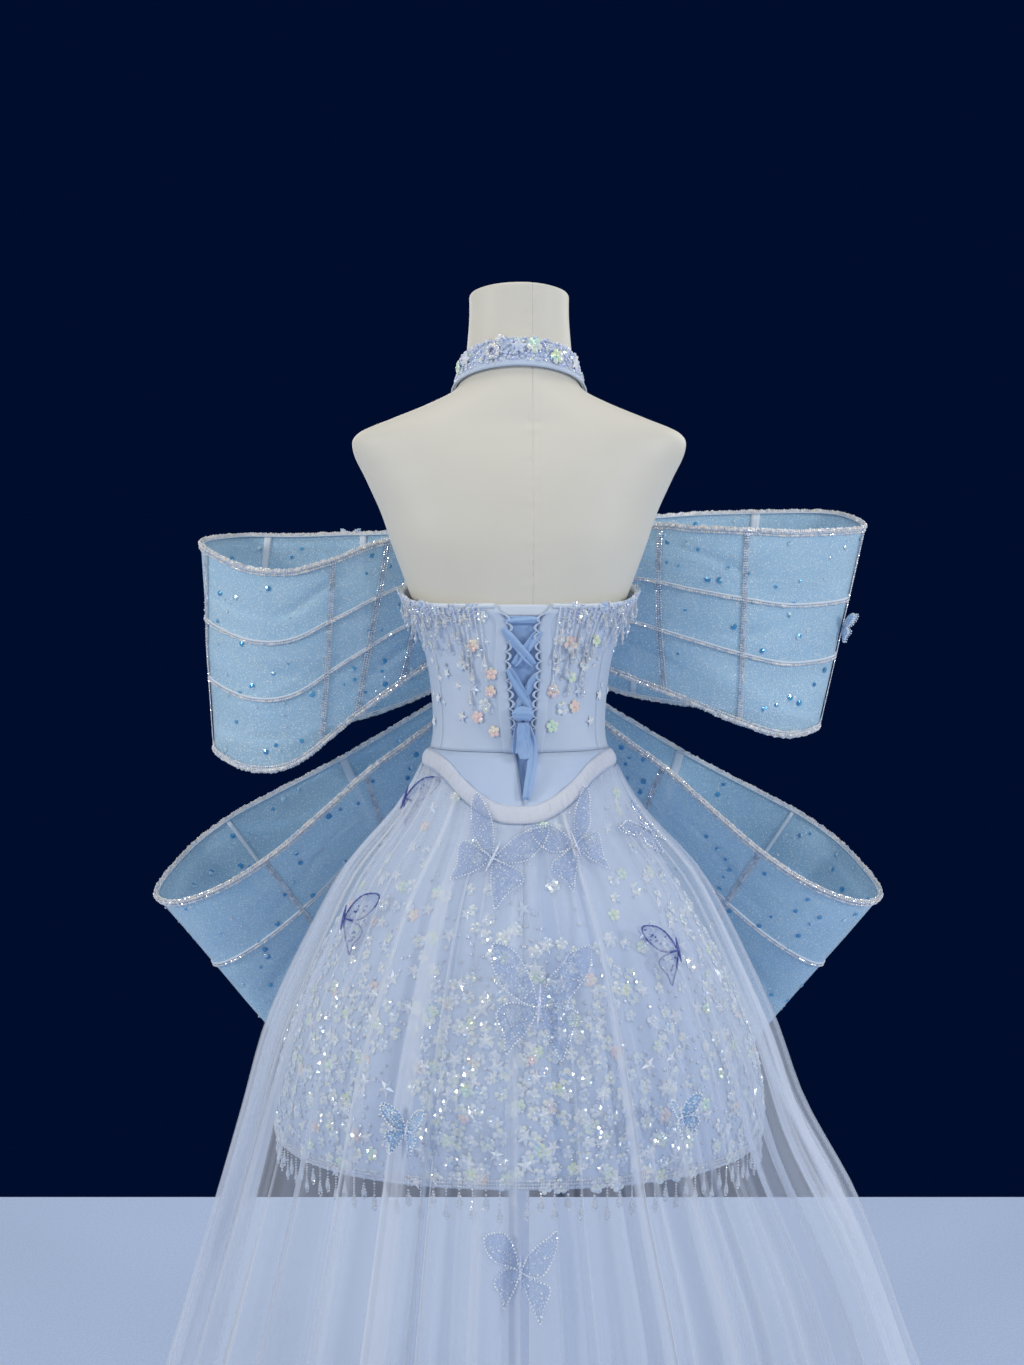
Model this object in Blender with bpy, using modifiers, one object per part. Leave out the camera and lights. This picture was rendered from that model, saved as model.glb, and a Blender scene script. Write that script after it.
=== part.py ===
"""A laced, beaded prom dress with a giant four-loop bow, standing on a limbless dress form.

Metres, +Z up.  The front faces -Y, the laced back faces +Y and the wearer's left is +X.
A turn is an angle round the body in degrees, from 0 at the centre back towards the wearer's left.
"""

import math
import random
from typing import Callable, NamedTuple

import bmesh
import bpy
from mathutils import Matrix, Vector
from mathutils.bvhtree import BVHTree

# Gaps and cloth thicknesses
SEAM_GAP = 0.0003
BODICE_THICKNESS = 0.0020
SKIRT_THICKNESS = 0.0015
TULLE_THICKNESS = 0.0010
RIBBON_THICKNESS = 0.0012
TAPE_THICKNESS = 0.0030
PANEL_OUT = 0.0015
BODICE_OUT = 0.0044

# Dress form and its stand
FORM_TURN_STEP = 12.0
NECK_TOP = 1.586
BODY_BOTTOM = 0.750
POLE_RADIUS = 0.0125
FOOT_RADIUS = 0.190
FOOT_HEIGHT = 0.010
FOOT_BEVEL = 0.003

# Collar and halter straps
COLLAR_HEIGHT = 0.030
COLLAR_THICKNESS = 0.0034
COLLAR_OUT = 0.0034
COLLAR_LEVEL = 1.507
COLLAR_TILT = 0.013
COLLAR_CLOSURE_TURN = 24.0
STRAP_WIDTH = 0.024
STRAP_OUT = 0.0026
STRAP_COLLAR_REACH = 0.034
STRAP_BUST_REACH = 0.074

# Bodice
WAIST = 1.050
BACK_SEAM_TURN = 60.0
SIDE_SEAM_TURN = 120.0
BUST_RISE = 0.026
BUST_REACH = 0.076
BUST_HEIGHT = 1.232
BUST_SPREAD = 0.046
GAPE = 0.008
GAPE_START = 1.165
GAPE_FULL = 1.225
OPENING_REACH = -0.004
MODESTY_REACH = 0.042
MODESTY_TOP = 1.208
MODESTY_BOTTOM = 0.996
BODICE_DROPS = 12
BODICE_DROP_LENGTH = 0.038
BODICE_DROPS_LEFT = (18.0, 84.0)
BODICE_DROPS_RIGHT = (-84.0, -24.0)
BODICE_DROPS_BELOW = 0.003
BODICE_RADIUS = 0.12

# Lacing
LACE_WIDTH = 0.0095
UNDER_OUT = 0.0064
OVER_OUT = 0.0080
LACE_KNOT_SIZE = (0.022, 0.009, 0.016)
LACE_KNOT_REACH = -0.0034
LACE_KNOT_LEVEL = 1.0942
LACE_KNOT_BEVEL = 0.002

# Short skirt and its bead fringe
HEM_LEVEL = 0.600
HEM_BACK_RISE = 0.024
SLIT_BOTTOM = 1.000
HEM_RADIUS = 0.26
HEM_DROPS = 66
HEM_DROPS_END = 179.9
FRINGE_STRIP = 0.007
HEM_DROP_LENGTH = 0.030
FRINGE_THICKNESS = 0.0022
DROP_ROOT_WIDTH = 0.0026
DROP_TIP_WIDTH = 0.0046

# Overskirt
WRAP_TURN = 106.0
BAND_HEIGHT = 0.018
BAND_THICKNESS = 0.0025
BAND_OUT = 0.0034
TULLE_OUT = 0.0036
TULLE_SPREAD_AT = 0.14
FOLDS = 28
COLUMNS_PER_FOLD = 4
TULLE_ROWS = (0.0, 0.09, 0.21, 0.42, 0.70, 1.0)
FOLD_AT_BAND = 0.0010
FOLD_AT_HEM = 0.022
OVERSKIRT_HEM = 0.004
TULLE_SEAM_TURN = -8.0

# Bow
KNOT_SIZE = (0.075, 0.075, 0.120)
KNOT_LEVEL = 1.145
KNOT_BEVEL = 0.014
LOOP_COLUMNS = 13
TAPE_WIDTH = 0.009
TAPE_GAP = 0.0011

# Raised butterflies
BUTTERFLY_POINTS = 20
BUTTERFLY_RISE = 0.75
BUTTERFLY_THICKNESS = 0.0010


class Section(NamedTuple):
    """Half sizes of a form at one height, from its axis."""

    height: float
    left: float
    right: float
    back: float
    front: float


BODY_SECTIONS = (
    Section(1.586, 0.059, 0.059, 0.056, 0.052),
    Section(1.560, 0.059, 0.059, 0.056, 0.053),
    Section(1.532, 0.061, 0.061, 0.057, 0.055),
    Section(1.505, 0.064, 0.064, 0.060, 0.057),
    Section(1.484, 0.070, 0.070, 0.063, 0.058),
    Section(1.470, 0.080, 0.080, 0.067, 0.059),
    Section(1.454, 0.113, 0.113, 0.071, 0.059),
    Section(1.438, 0.154, 0.154, 0.074, 0.058),
    Section(1.422, 0.192, 0.192, 0.077, 0.058),
    Section(1.404, 0.198, 0.198, 0.082, 0.061),
    Section(1.370, 0.183, 0.183, 0.090, 0.074),
    Section(1.330, 0.165, 0.165, 0.096, 0.090),
    Section(1.286, 0.150, 0.150, 0.099, 0.103),
    Section(1.226, 0.128, 0.128, 0.094, 0.109),
    Section(1.166, 0.108, 0.108, 0.086, 0.099),
    Section(1.118, 0.100, 0.100, 0.077, 0.087),
    Section(1.070, 0.098, 0.098, 0.073, 0.083),
    Section(1.050, 0.1015, 0.1015, 0.0735, 0.0845),
    Section(1.020, 0.111, 0.111, 0.082, 0.088),
    Section(1.000, 0.119, 0.119, 0.089, 0.092),
    Section(0.930, 0.146, 0.146, 0.112, 0.103),
    Section(0.870, 0.162, 0.162, 0.120, 0.103),
    Section(0.800, 0.158, 0.158, 0.113, 0.098),
    Section(0.750, 0.150, 0.150, 0.104, 0.092),
)

SKIRT_SECTIONS = (
    Section(1.050, 0.1059, 0.1059, 0.0779, 0.0889),
    Section(1.020, 0.1168, 0.1168, 0.0878, 0.0952),
    Section(1.000, 0.1260, 0.1260, 0.0970, 0.1040),
    Section(0.960, 0.1460, 0.1460, 0.1200, 0.1220),
    Section(0.920, 0.1690, 0.1690, 0.1450, 0.1440),
    Section(0.866, 0.2020, 0.2020, 0.1760, 0.1720),
    Section(0.794, 0.2420, 0.2420, 0.2060, 0.2000),
    Section(0.722, 0.2730, 0.2730, 0.2260, 0.2180),
    Section(0.650, 0.2900, 0.2900, 0.2370, 0.2300),
    Section(0.600, 0.2900, 0.2900, 0.2380, 0.2320),
    Section(0.560, 0.2860, 0.2860, 0.2350, 0.2290),
)

OVERSKIRT_SECTIONS = (
    Section(1.050, 0.112, 0.112, 0.084, 0.095),
    Section(0.990, 0.146, 0.146, 0.112, 0.118),
    Section(0.926, 0.196, 0.198, 0.156, 0.158),
    Section(0.866, 0.228, 0.232, 0.196, 0.190),
    Section(0.794, 0.263, 0.266, 0.232, 0.222),
    Section(0.722, 0.293, 0.297, 0.258, 0.244),
    Section(0.626, 0.319, 0.330, 0.286, 0.262),
    Section(0.506, 0.353, 0.393, 0.330, 0.282),
    Section(0.308, 0.410, 0.463, 0.405, 0.318),
    Section(0.000, 0.500, 0.580, 0.560, 0.380),
)


class Level(NamedTuple):
    """A height at a turn round the body, the same on both sides."""

    turn: float
    height: float


TOP_EDGE = (
    Level(0, 1.217),
    Level(40, 1.217),
    Level(64, 1.222),
    Level(85, 1.233),
    Level(108, 1.246),
    Level(135, 1.296),
    Level(158, 1.298),
    Level(180, 1.266),
)

BAND_TOP = (
    Level(0, 0.992),
    Level(8, 0.9935),
    Level(17, 1.001),
    Level(32, 1.0195),
    Level(46, 1.037),
    Level(65, 1.047),
    Level(120, 1.048),
)


class Gap(NamedTuple):
    """Half width of the laced opening at one height."""

    height: float
    half: float


OPENING = (
    Gap(1.217, 0.0300),
    Gap(1.196, 0.0168),
    Gap(1.150, 0.0180),
    Gap(1.112, 0.0145),
    Gap(1.081, 0.0123),
    Gap(1.050, 0.0079),
    Gap(1.000, 0.0012),
)


class Run(NamedTuple):
    """One run of lacing ribbon: where its middle line goes (reach, height), and how far out it lies."""

    name: str
    width: float
    out: float
    path: tuple[tuple[float, float], ...]


LACE_RUNS = (
    Run("lacing_bar", 0.0080, UNDER_OUT, ((0.0160, 1.2005), (-0.0215, 1.2005))),
    Run("lacing_cross_1", LACE_WIDTH, OVER_OUT, ((0.0172, 1.1905), (-0.0150, 1.1500))),
    Run("lacing_cross_2", LACE_WIDTH, UNDER_OUT, ((-0.0215, 1.1882), (0.0060, 1.1500))),
    Run("lacing_cross_3", LACE_WIDTH, OVER_OUT, ((0.0110, 1.1455), (-0.0120, 1.0990))),
    Run("lacing_cross_4", LACE_WIDTH, UNDER_OUT, ((-0.0190, 1.1400), (0.0040, 1.0990))),
    Run("lacing_tail_left", LACE_WIDTH, 0.0114,
        ((-0.0015, 1.0838), (0.0010, 1.0740), (0.0045, 1.0500))),
    Run("lacing_tail_right", LACE_WIDTH, 0.0134,
        ((-0.0052, 1.0838), (-0.0085, 1.0750), (-0.0130, 1.0560), (-0.0115, 1.0300), (-0.0060, 1.0000))),
    Run("lacing_tail_middle", 0.0130, 0.0154, ((-0.0034, 1.0850), (-0.0042, 1.0640), (-0.0050, 1.0440))),
)


class Station(NamedTuple):
    """One place along a bow loop, as its upper edge and its lower edge."""

    top_reach: float
    top_back: float
    top_height: float
    low_reach: float
    low_back: float
    low_height: float


ROOT_REACH = KNOT_SIZE[0] / 2 + 2 * SEAM_GAP

UPPER_LEFT_LOOP = (
    Station(ROOT_REACH, -0.142, 1.190, ROOT_REACH, -0.142, 1.150),
    Station(0.085, -0.150, 1.272, 0.075, -0.152, 1.148),
    Station(0.152, -0.088, 1.304, 0.112, -0.115, 1.150),
    Station(0.237, -0.060, 1.2745, 0.205, -0.075, 1.085),
    Station(0.290, -0.055, 1.2616, 0.280, -0.065, 1.025),
    Station(0.348, -0.070, 1.269, 0.342, -0.080, 1.015),
    Station(0.4125, -0.120, 1.302, 0.398, -0.125, 1.037),
    Station(0.384, -0.195, 1.319, 0.375, -0.190, 1.055),
    Station(0.304, -0.215, 1.321, 0.295, -0.205, 1.058),
    Station(0.219, -0.210, 1.323, 0.210, -0.205, 1.075),
    Station(0.140, -0.195, 1.318, 0.130, -0.195, 1.105),
    Station(0.085, -0.180, 1.275, 0.075, -0.180, 1.140),
    Station(ROOT_REACH, -0.165, 1.190, ROOT_REACH, -0.165, 1.150),
)

UPPER_RIGHT_LOOP = (
    Station(ROOT_REACH, -0.142, 1.190, ROOT_REACH, -0.142, 1.150),
    Station(0.085, -0.150, 1.285, 0.075, -0.152, 1.146),
    Station(0.160, -0.088, 1.320, 0.112, -0.115, 1.142),
    Station(0.225, -0.062, 1.316, 0.205, -0.075, 1.106),
    Station(0.283, -0.055, 1.313, 0.272, -0.065, 1.078),
    Station(0.352, -0.070, 1.312, 0.338, -0.080, 1.058),
    Station(0.449, -0.125, 1.3235, 0.393, -0.125, 1.066),
    Station(0.430, -0.195, 1.350, 0.380, -0.190, 1.080),
    Station(0.322, -0.215, 1.353, 0.300, -0.205, 1.085),
    Station(0.215, -0.210, 1.348, 0.205, -0.205, 1.095),
    Station(0.140, -0.195, 1.335, 0.130, -0.195, 1.112),
    Station(0.085, -0.180, 1.285, 0.075, -0.180, 1.142),
    Station(ROOT_REACH, -0.165, 1.190, ROOT_REACH, -0.165, 1.150),
)

LOWER_LOOP = (
    Station(ROOT_REACH, -0.142, 1.138, ROOT_REACH, -0.142, 1.100),
    Station(0.115, -0.125, 1.066, 0.085, -0.190, 0.900),
    Station(0.190, -0.095, 1.012, 0.160, -0.215, 0.815),
    Station(0.248, -0.085, 0.960, 0.200, -0.220, 0.762),
    Station(0.315, -0.080, 0.903, 0.240, -0.218, 0.706),
    Station(0.384, -0.090, 0.859, 0.280, -0.210, 0.655),
    Station(0.450, -0.115, 0.834, 0.310, -0.202, 0.615),
    Station(0.486, -0.155, 0.840, 0.316, -0.215, 0.600),
    Station(0.463, -0.225, 0.882, 0.308, -0.275, 0.625),
    Station(0.412, -0.245, 0.923, 0.290, -0.300, 0.662),
    Station(0.356, -0.255, 0.954, 0.262, -0.315, 0.700),
    Station(0.245, -0.245, 1.012, 0.195, -0.305, 0.785),
    Station(0.122, -0.200, 1.085, 0.095, -0.255, 0.890),
    Station(ROOT_REACH, -0.165, 1.138, ROOT_REACH, -0.165, 1.100),
)


class Loop(NamedTuple):
    """A bow loop: its side (+1 left, -1 right), stations, ribbed lines down it and cross tapes along it."""

    name: str
    side: float
    stations: tuple[Station, ...]
    lines: tuple[float, ...]
    tapes: tuple[float, ...]


UPPER_LINES = (0.0, 0.35, 0.64, 1.0)
LOWER_LINES = (0.0, 0.42, 0.70, 1.0)

LOOPS = (
    Loop("bow_upper_left", 1.0, UPPER_LEFT_LOOP, UPPER_LINES, (0.243, 0.491, 0.609, 0.748)),
    Loop("bow_upper_right", -1.0, UPPER_RIGHT_LOOP, UPPER_LINES, (0.211, 0.3375, 0.61, 0.78)),
    Loop("bow_lower_left", 1.0, LOWER_LOOP, LOWER_LINES, (0.157, 0.31, 0.715, 0.855)),
    Loop("bow_lower_right", -1.0, LOWER_LOOP, LOWER_LINES, (0.138, 0.297, 0.746, 0.858)),
)


def between(rows: tuple, at: float, value: Callable) -> float:
    """Read a table smoothly: rows are in order of their first column, value picks the column wanted."""
    keys = [row[0] for row in rows]
    rising = keys[0] < keys[-1]
    index = sum(1 for key in keys if (key <= at if rising else key >= at)) - 1
    index = max(0, min(len(rows) - 2, index))

    def slope(place: int) -> float:
        low = max(0, place - 1)
        high = min(len(rows) - 1, place + 1)
        return (value(rows[high]) - value(rows[low])) / (keys[high] - keys[low])

    span = keys[index + 1] - keys[index]
    part = max(0.0, min(1.0, (at - keys[index]) / span))
    start, end = value(rows[index]), value(rows[index + 1])
    lead, trail = slope(index) * span, slope(index + 1) * span
    return ((2 * part ** 3 - 3 * part ** 2 + 1) * start + (part ** 3 - 2 * part ** 2 + part) * lead
            + (3 * part ** 2 - 2 * part ** 3) * end + (part ** 3 - part ** 2) * trail)


def ease(low: float, high: float, at: float) -> float:
    """Nothing below low, one above high, and a smooth rise between them."""
    part = max(0.0, min(1.0, (at - low) / (high - low)))
    return part * part * (3 - 2 * part)


def steps(start: float, end: float, count: int) -> list[float]:
    """Evenly spaced values from start to end, count spaces in all."""
    return [start + (end - start) * index / count for index in range(count + 1)]


def section_at(sections: tuple[Section, ...], height: float) -> Section:
    """The half sizes of a form at any height."""
    return Section(height, *(between(sections, height, lambda row, c=column: row[c]) for column in range(1, 5)))


def section_point(section: Section, turn: float, out: float) -> Vector:
    """A point on an oval section, moved out from it."""
    across, along = math.sin(math.radians(turn)), math.cos(math.radians(turn))
    side = section.left if across > 0 else section.right
    depth = section.back if along > 0 else section.front
    return Vector(((side + out) * across, (depth + out) * along, section.height))


def body_point(turn: float, height: float, out: float = 0.0) -> Vector:
    """A point on the dress form, moved out from it, with the bust raised at the front."""
    point = section_point(section_at(BODY_SECTIONS, height), turn, out)
    if math.cos(math.radians(turn)) < 0:
        aside = (abs(point.x) - BUST_REACH) / BUST_SPREAD
        above = (height - BUST_HEIGHT) / BUST_SPREAD
        faced = ease(0.4, 0.85, -math.cos(math.radians(turn)))
        point.y -= BUST_RISE * math.exp(-aside ** 2 - above ** 2) * faced
    return point


def turn_for(reach: float, height: float, sections: tuple[Section, ...] = BODY_SECTIONS) -> float:
    """The turn at which the back of a form is this far to the side."""
    section = section_at(sections, height)
    side = section.left if reach > 0 else section.right
    return math.degrees(math.asin(max(-1.0, min(1.0, reach / side))))


def skirt_point(turn: float, height: float, out: float = 0.0) -> Vector:
    """A point on the short skirt, moved out from it."""
    return section_point(section_at(SKIRT_SECTIONS, height), turn, out)


def level(rows: tuple[Level, ...], turn: float) -> float:
    """A height round the body, from a table for one side."""
    return between(rows, abs((turn + 180) % 360 - 180), lambda row: row.height)


def hem_level(turn: float) -> float:
    """The height of the short skirt's hem."""
    return HEM_LEVEL + HEM_BACK_RISE * max(0.0, math.cos(math.radians(turn))) ** 2


def collar_top(turn: float) -> float:
    """The height of the collar's upper edge."""
    return COLLAR_LEVEL + COLLAR_TILT * math.cos(math.radians(turn))


def bodice_point(turn: float, height: float, out: float = BODICE_OUT) -> Vector:
    """A point on the bodice, which stands away from the body at its upper edge."""
    wrapped = abs((turn + 180) % 360 - 180)
    open_at = ease(GAPE_START, GAPE_FULL, height) * ease(24, 50, wrapped) * (1 - ease(100, 140, wrapped))
    return body_point(turn, height, out + GAPE * open_at)


def material(name: str, colour: tuple[float, float, float], roughness: float,
             alpha: float = 1.0) -> bpy.types.Material:
    """A plain Principled material."""
    made = bpy.data.materials.new(name)
    made.use_nodes = True
    shader = made.node_tree.nodes["Principled BSDF"]
    shader.inputs["Base Color"].default_value = (*colour, 1.0)
    shader.inputs["Roughness"].default_value = roughness
    shader.inputs["Metallic"].default_value = 0.0
    shader.inputs["Alpha"].default_value = alpha
    return made


def add_object(name: str, mesh: bpy.types.Mesh, look: bpy.types.Material) -> bpy.types.Object:
    """Put a mesh in the dress's collection, smooth but for its sharp edges."""
    mesh.materials.append(look)
    mesh.shade_smooth()
    mesh.set_sharp_from_angle(angle=math.radians(40))
    made = bpy.data.objects.new(name, mesh)
    bpy.data.collections["prom_dress"].objects.link(made)
    return made


def grid_mesh(name: str, across: list[float], down: list[float], place: Callable[[float, float], Vector],
              keep: Callable[[int, int], bool] = lambda column, row: True) -> bpy.types.Mesh:
    """A grid with a column at each across value and a row at each down value, each point put in its place."""
    form = bmesh.new()
    columns, rows = len(across) - 1, len(down) - 1
    bmesh.ops.create_grid(form, x_segments=columns, y_segments=rows, size=0.5)
    dropped = []
    for face in form.faces:
        middle = face.calc_center_median()
        if not keep(int((middle.x + 0.5) * columns), int((middle.y + 0.5) * rows)):
            dropped.append(face)
    for vertex in form.verts:
        column = round((vertex.co.x + 0.5) * columns)
        row = round((vertex.co.y + 0.5) * rows)
        vertex.co = place(across[column], down[row])
    bmesh.ops.delete(form, geom=dropped, context="FACES")
    mesh = bpy.data.meshes.new(name)
    form.to_mesh(mesh)
    form.free()
    return mesh


def wall(name: str, look: bpy.types.Material, thickness: float, across: list[float], down: list[float],
         place: Callable[[float, float], Vector],
         keep: Callable[[int, int], bool] = lambda column, row: True) -> bpy.types.Object:
    """A wall of cloth: an open grid made thick to both sides."""
    made = add_object(name, grid_mesh(name, across, down, place, keep), look)
    solid = made.modifiers.new("Thickness", "SOLIDIFY")
    solid.thickness = thickness
    solid.offset = 0.0
    return made


def turns_between(start: float, end: float) -> list[float]:
    """The form's own turns that lie between two turns, with both ends."""
    first = math.floor(start / FORM_TURN_STEP) + 1
    last = math.ceil(end / FORM_TURN_STEP)
    inner = [index * FORM_TURN_STEP for index in range(first, last)]
    inner = [turn for turn in inner if min(turn - start, end - turn) > FORM_TURN_STEP / 4]
    return [start, *inner, end]


def seam_turn(radius: float = BODICE_RADIUS) -> float:
    """Half the space between two panels' edges, as a turn."""
    return math.degrees(SEAM_GAP / radius)


def build_form(look: bpy.types.Material) -> None:
    """The limbless dress form, whole under the dress, with flat ends."""
    heights = (steps(NECK_TOP, 1.505, 2) + [1.494, 1.484, 1.476, 1.470, 1.462, 1.454, 1.438, 1.422, 1.404]
               + steps(1.370, 1.250, 3) + steps(1.226, 1.006, 11) + steps(0.985, BODY_BOTTOM, 4))
    turns = steps(-180, 180, round(360 / FORM_TURN_STEP))
    mesh = grid_mesh("dress_form", turns, heights, body_point)
    form = bmesh.new()
    form.from_mesh(mesh)
    bmesh.ops.remove_doubles(form, verts=form.verts, dist=1e-5)
    bmesh.ops.holes_fill(form, edges=form.edges, sides=0)
    bmesh.ops.recalc_face_normals(form, faces=form.faces)
    form.to_mesh(mesh)
    form.free()
    add_object("dress_form", mesh, look)


def turned_piece(name: str, look: bpy.types.Material, radius: float, bottom: float, top: float,
                 sides: int) -> bpy.types.Object:
    """An upright round piece on the form's axis."""
    form = bmesh.new()
    bmesh.ops.create_cone(form, cap_ends=True, segments=sides, radius1=radius, radius2=radius,
                          depth=top - bottom, matrix=Matrix.Translation((0, 0, (top + bottom) / 2)))
    mesh = bpy.data.meshes.new(name)
    form.to_mesh(mesh)
    form.free()
    return add_object(name, mesh, look)


def build_stand(look: bpy.types.Material) -> None:
    """The pole under the form and its round foot on the floor."""
    turned_piece("stand_pole", look, POLE_RADIUS, FOOT_HEIGHT + SEAM_GAP, BODY_BOTTOM - SEAM_GAP, 16)
    foot = turned_piece("stand_foot", look, FOOT_RADIUS, 0.0, FOOT_HEIGHT, 36)
    bevel = foot.modifiers.new("Rounded rim", "BEVEL")
    bevel.width = FOOT_BEVEL
    bevel.segments = 1
    bevel.limit_method = "ANGLE"


def build_collar(look: bpy.types.Material) -> None:
    """The beaded collar, closed at the back on the wearer's left."""
    gap = seam_turn(0.07)
    turns = steps(COLLAR_CLOSURE_TURN + gap, COLLAR_CLOSURE_TURN + 360 - gap, 30)
    wall("collar", look, COLLAR_THICKNESS, turns, [0.0, 0.5, 1.0],
         lambda turn, down: body_point(turn, collar_top(turn) - COLLAR_HEIGHT * down, COLLAR_OUT))


def build_strap(name: str, side: float, look: bpy.types.Material) -> None:
    """A halter strap from the collar's lower edge to the top of the bust."""
    def place(across: float, down: float) -> Vector:
        aside = side * (STRAP_COLLAR_REACH + (STRAP_BUST_REACH - STRAP_COLLAR_REACH) * down + across)
        low_turn = 180 - turn_for(aside, 1.29)
        top = collar_top(180 - turn_for(aside, 1.456)) - COLLAR_HEIGHT - 2 * SEAM_GAP
        low = level(TOP_EDGE, low_turn) + 2 * SEAM_GAP
        height = top + (low - top) * down
        return body_point(180 - turn_for(aside, height), height, STRAP_OUT)

    half = STRAP_WIDTH / 2
    wall(name, look, RIBBON_THICKNESS, [-half, 0.0, half], steps(0.0, 1.0, 8), place)


def opening_turn(side: float, height: float) -> float:
    """The turn of one edge of the laced opening."""
    half = between(OPENING, height, lambda row: row.half)
    return turn_for(OPENING_REACH + side * half, height)


def build_bodice(look: bpy.types.Material) -> None:
    """The bodice's front, two sides and two backs, seamed edge to edge."""
    gap = seam_turn()
    bottom = WAIST + SEAM_GAP

    def place(turn: float, down: float) -> Vector:
        top = level(TOP_EDGE, turn)
        return bodice_point(turn, top + (bottom - top) * down)

    front = turns_between(SIDE_SEAM_TURN + gap, 360 - SIDE_SEAM_TURN - gap)
    wall("bodice_front", look, BODICE_THICKNESS, front, steps(0.0, 1.0, 10), place)
    for name, side in (("left", 1.0), ("right", -1.0)):
        seams = sorted((side * (BACK_SEAM_TURN + gap), side * (SIDE_SEAM_TURN - gap)))
        wall(f"bodice_side_{name}", look, BODICE_THICKNESS, turns_between(*seams), steps(0.0, 1.0, 8), place)

        def back_place(across: float, down: float, side: float = side) -> Vector:
            height = level(TOP_EDGE, 30) + (bottom - level(TOP_EDGE, 30)) * down
            inner = opening_turn(side, height)
            turn = inner + (side * (BACK_SEAM_TURN - gap) - inner) * across
            top = level(TOP_EDGE, turn)
            return bodice_point(turn, top + (bottom - top) * down)

        wall(f"bodice_back_{name}", look, BODICE_THICKNESS, steps(0.0, 1.0, 6), steps(0.0, 1.0, 8), back_place)


def build_modesty_panel(look: bpy.types.Material) -> None:
    """The satin panel that shows through the lacing, under both back edges."""
    def place(reach: float, height: float) -> Vector:
        return body_point(turn_for(OPENING_REACH + reach, height), height, PANEL_OUT)

    wall("modesty_panel", look, TULLE_THICKNESS, steps(-MODESTY_REACH, MODESTY_REACH, 6),
         steps(MODESTY_TOP, MODESTY_BOTTOM, 9), place)


def along_path(path: tuple[tuple[float, float], ...], part: float) -> tuple[Vector, Vector]:
    """The place on a path of (reach, height) points and the path's direction there."""
    rows = tuple((index / (len(path) - 1), *point) for index, point in enumerate(path))
    step = 0.01

    def at(where: float) -> Vector:
        return Vector([between(rows, where, lambda row, c=column: row[c]) for column in (1, 2)])

    return at(part), (at(min(1.0, part + step)) - at(max(0.0, part - step))).normalized()


def build_lacing(look: bpy.types.Material) -> None:
    """The satin ribbon: a bar, two crosses, the knot and the ends that hang from it."""
    for run in LACE_RUNS:
        def place(across: float, part: float, run: Run = run) -> Vector:
            middle, way = along_path(run.path, part)
            reach, height = middle + Vector((-way.y, way.x)) * across
            return body_point(turn_for(reach, height), height, run.out)

        half = run.width / 2
        wall(run.name, look, RIBBON_THICKNESS, [-half, 0.0, half], steps(0.0, 1.0, 6), place)
    out = OVER_OUT + RIBBON_THICKNESS / 2 + 3 * SEAM_GAP + LACE_KNOT_SIZE[1] / 2
    middle = body_point(turn_for(LACE_KNOT_REACH, LACE_KNOT_LEVEL), LACE_KNOT_LEVEL, out)
    block("lacing_knot", look, LACE_KNOT_SIZE, middle, LACE_KNOT_BEVEL)


def block(name: str, look: bpy.types.Material, size: tuple[float, float, float], middle: Vector,
          rounding: float) -> None:
    """A block with rounded edges."""
    form = bmesh.new()
    bmesh.ops.create_cube(form, size=1.0, matrix=Matrix.Diagonal((*size, 1.0)))
    mesh = bpy.data.meshes.new(name)
    form.to_mesh(mesh)
    form.free()
    made = add_object(name, mesh, look)
    made.location = middle
    bevel = made.modifiers.new("Rounding", "BEVEL")
    bevel.width = rounding
    bevel.segments = 3


def build_skirt(look: bpy.types.Material) -> None:
    """The short bell skirt: a front and two backs, with a slit below the lacing."""
    top = WAIST - SEAM_GAP
    heights = [0.0, 0.04, 0.09, 0.15, 0.24, 0.36, 0.5, 0.66, 0.83, 1.0]

    def place(turn: float, down: float) -> Vector:
        return skirt_point(turn, top + (hem_level(turn) - top) * down)

    gap = seam_turn()
    wall("skirt_front", look, SKIRT_THICKNESS, steps(90 + gap, 270 - gap, 15), heights, place)
    for name, side in (("left", 1.0), ("right", -1.0)):
        def back_place(across: float, down: float, side: float = side) -> Vector:
            height = top + (HEM_LEVEL - top) * down
            half = max(SEAM_GAP / 2, between(OPENING, height, lambda row: row.half)
                       if height > SLIT_BOTTOM else SEAM_GAP / 2)
            inner = turn_for(OPENING_REACH + side * half, height, SKIRT_SECTIONS)
            turn = inner + (side * (90 - gap) - inner) * across
            return place(turn, down)

        wall(f"skirt_back_{name}", look, SKIRT_THICKNESS, steps(0.0, 1.0, 8), heights, back_place)


def fringe(name: str, look: bpy.types.Material, ends: tuple[float, float], drops: int, length: float,
           edge: Callable[[float, float], Vector], radius: float) -> None:
    """A narrow strip with drops hanging from it; edge(turn, below) is a point below the strip's top."""
    start, end = ends
    pitch = (end - start) / drops
    root = math.degrees(DROP_ROOT_WIDTH / 2 / radius)
    tip = math.degrees(DROP_TIP_WIDTH / 2 / radius)
    columns = [start]
    for index in range(drops):
        middle = start + pitch * (index + 0.5)
        columns += [middle - root, middle + root]
    columns.append(end)
    depths = [0.0, FRINGE_STRIP, FRINGE_STRIP + length]

    def place(turn: float, depth: float) -> Vector:
        if depth > FRINGE_STRIP:
            middle = start + pitch * (math.floor((turn - start) / pitch) + 0.5)
            turn = middle + math.copysign(tip, turn - middle)
        return edge(turn, depth)

    wall(name, look, FRINGE_THICKNESS, columns, depths, place,
         keep=lambda column, row: row == 0 or column % 2 == 1)


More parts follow.
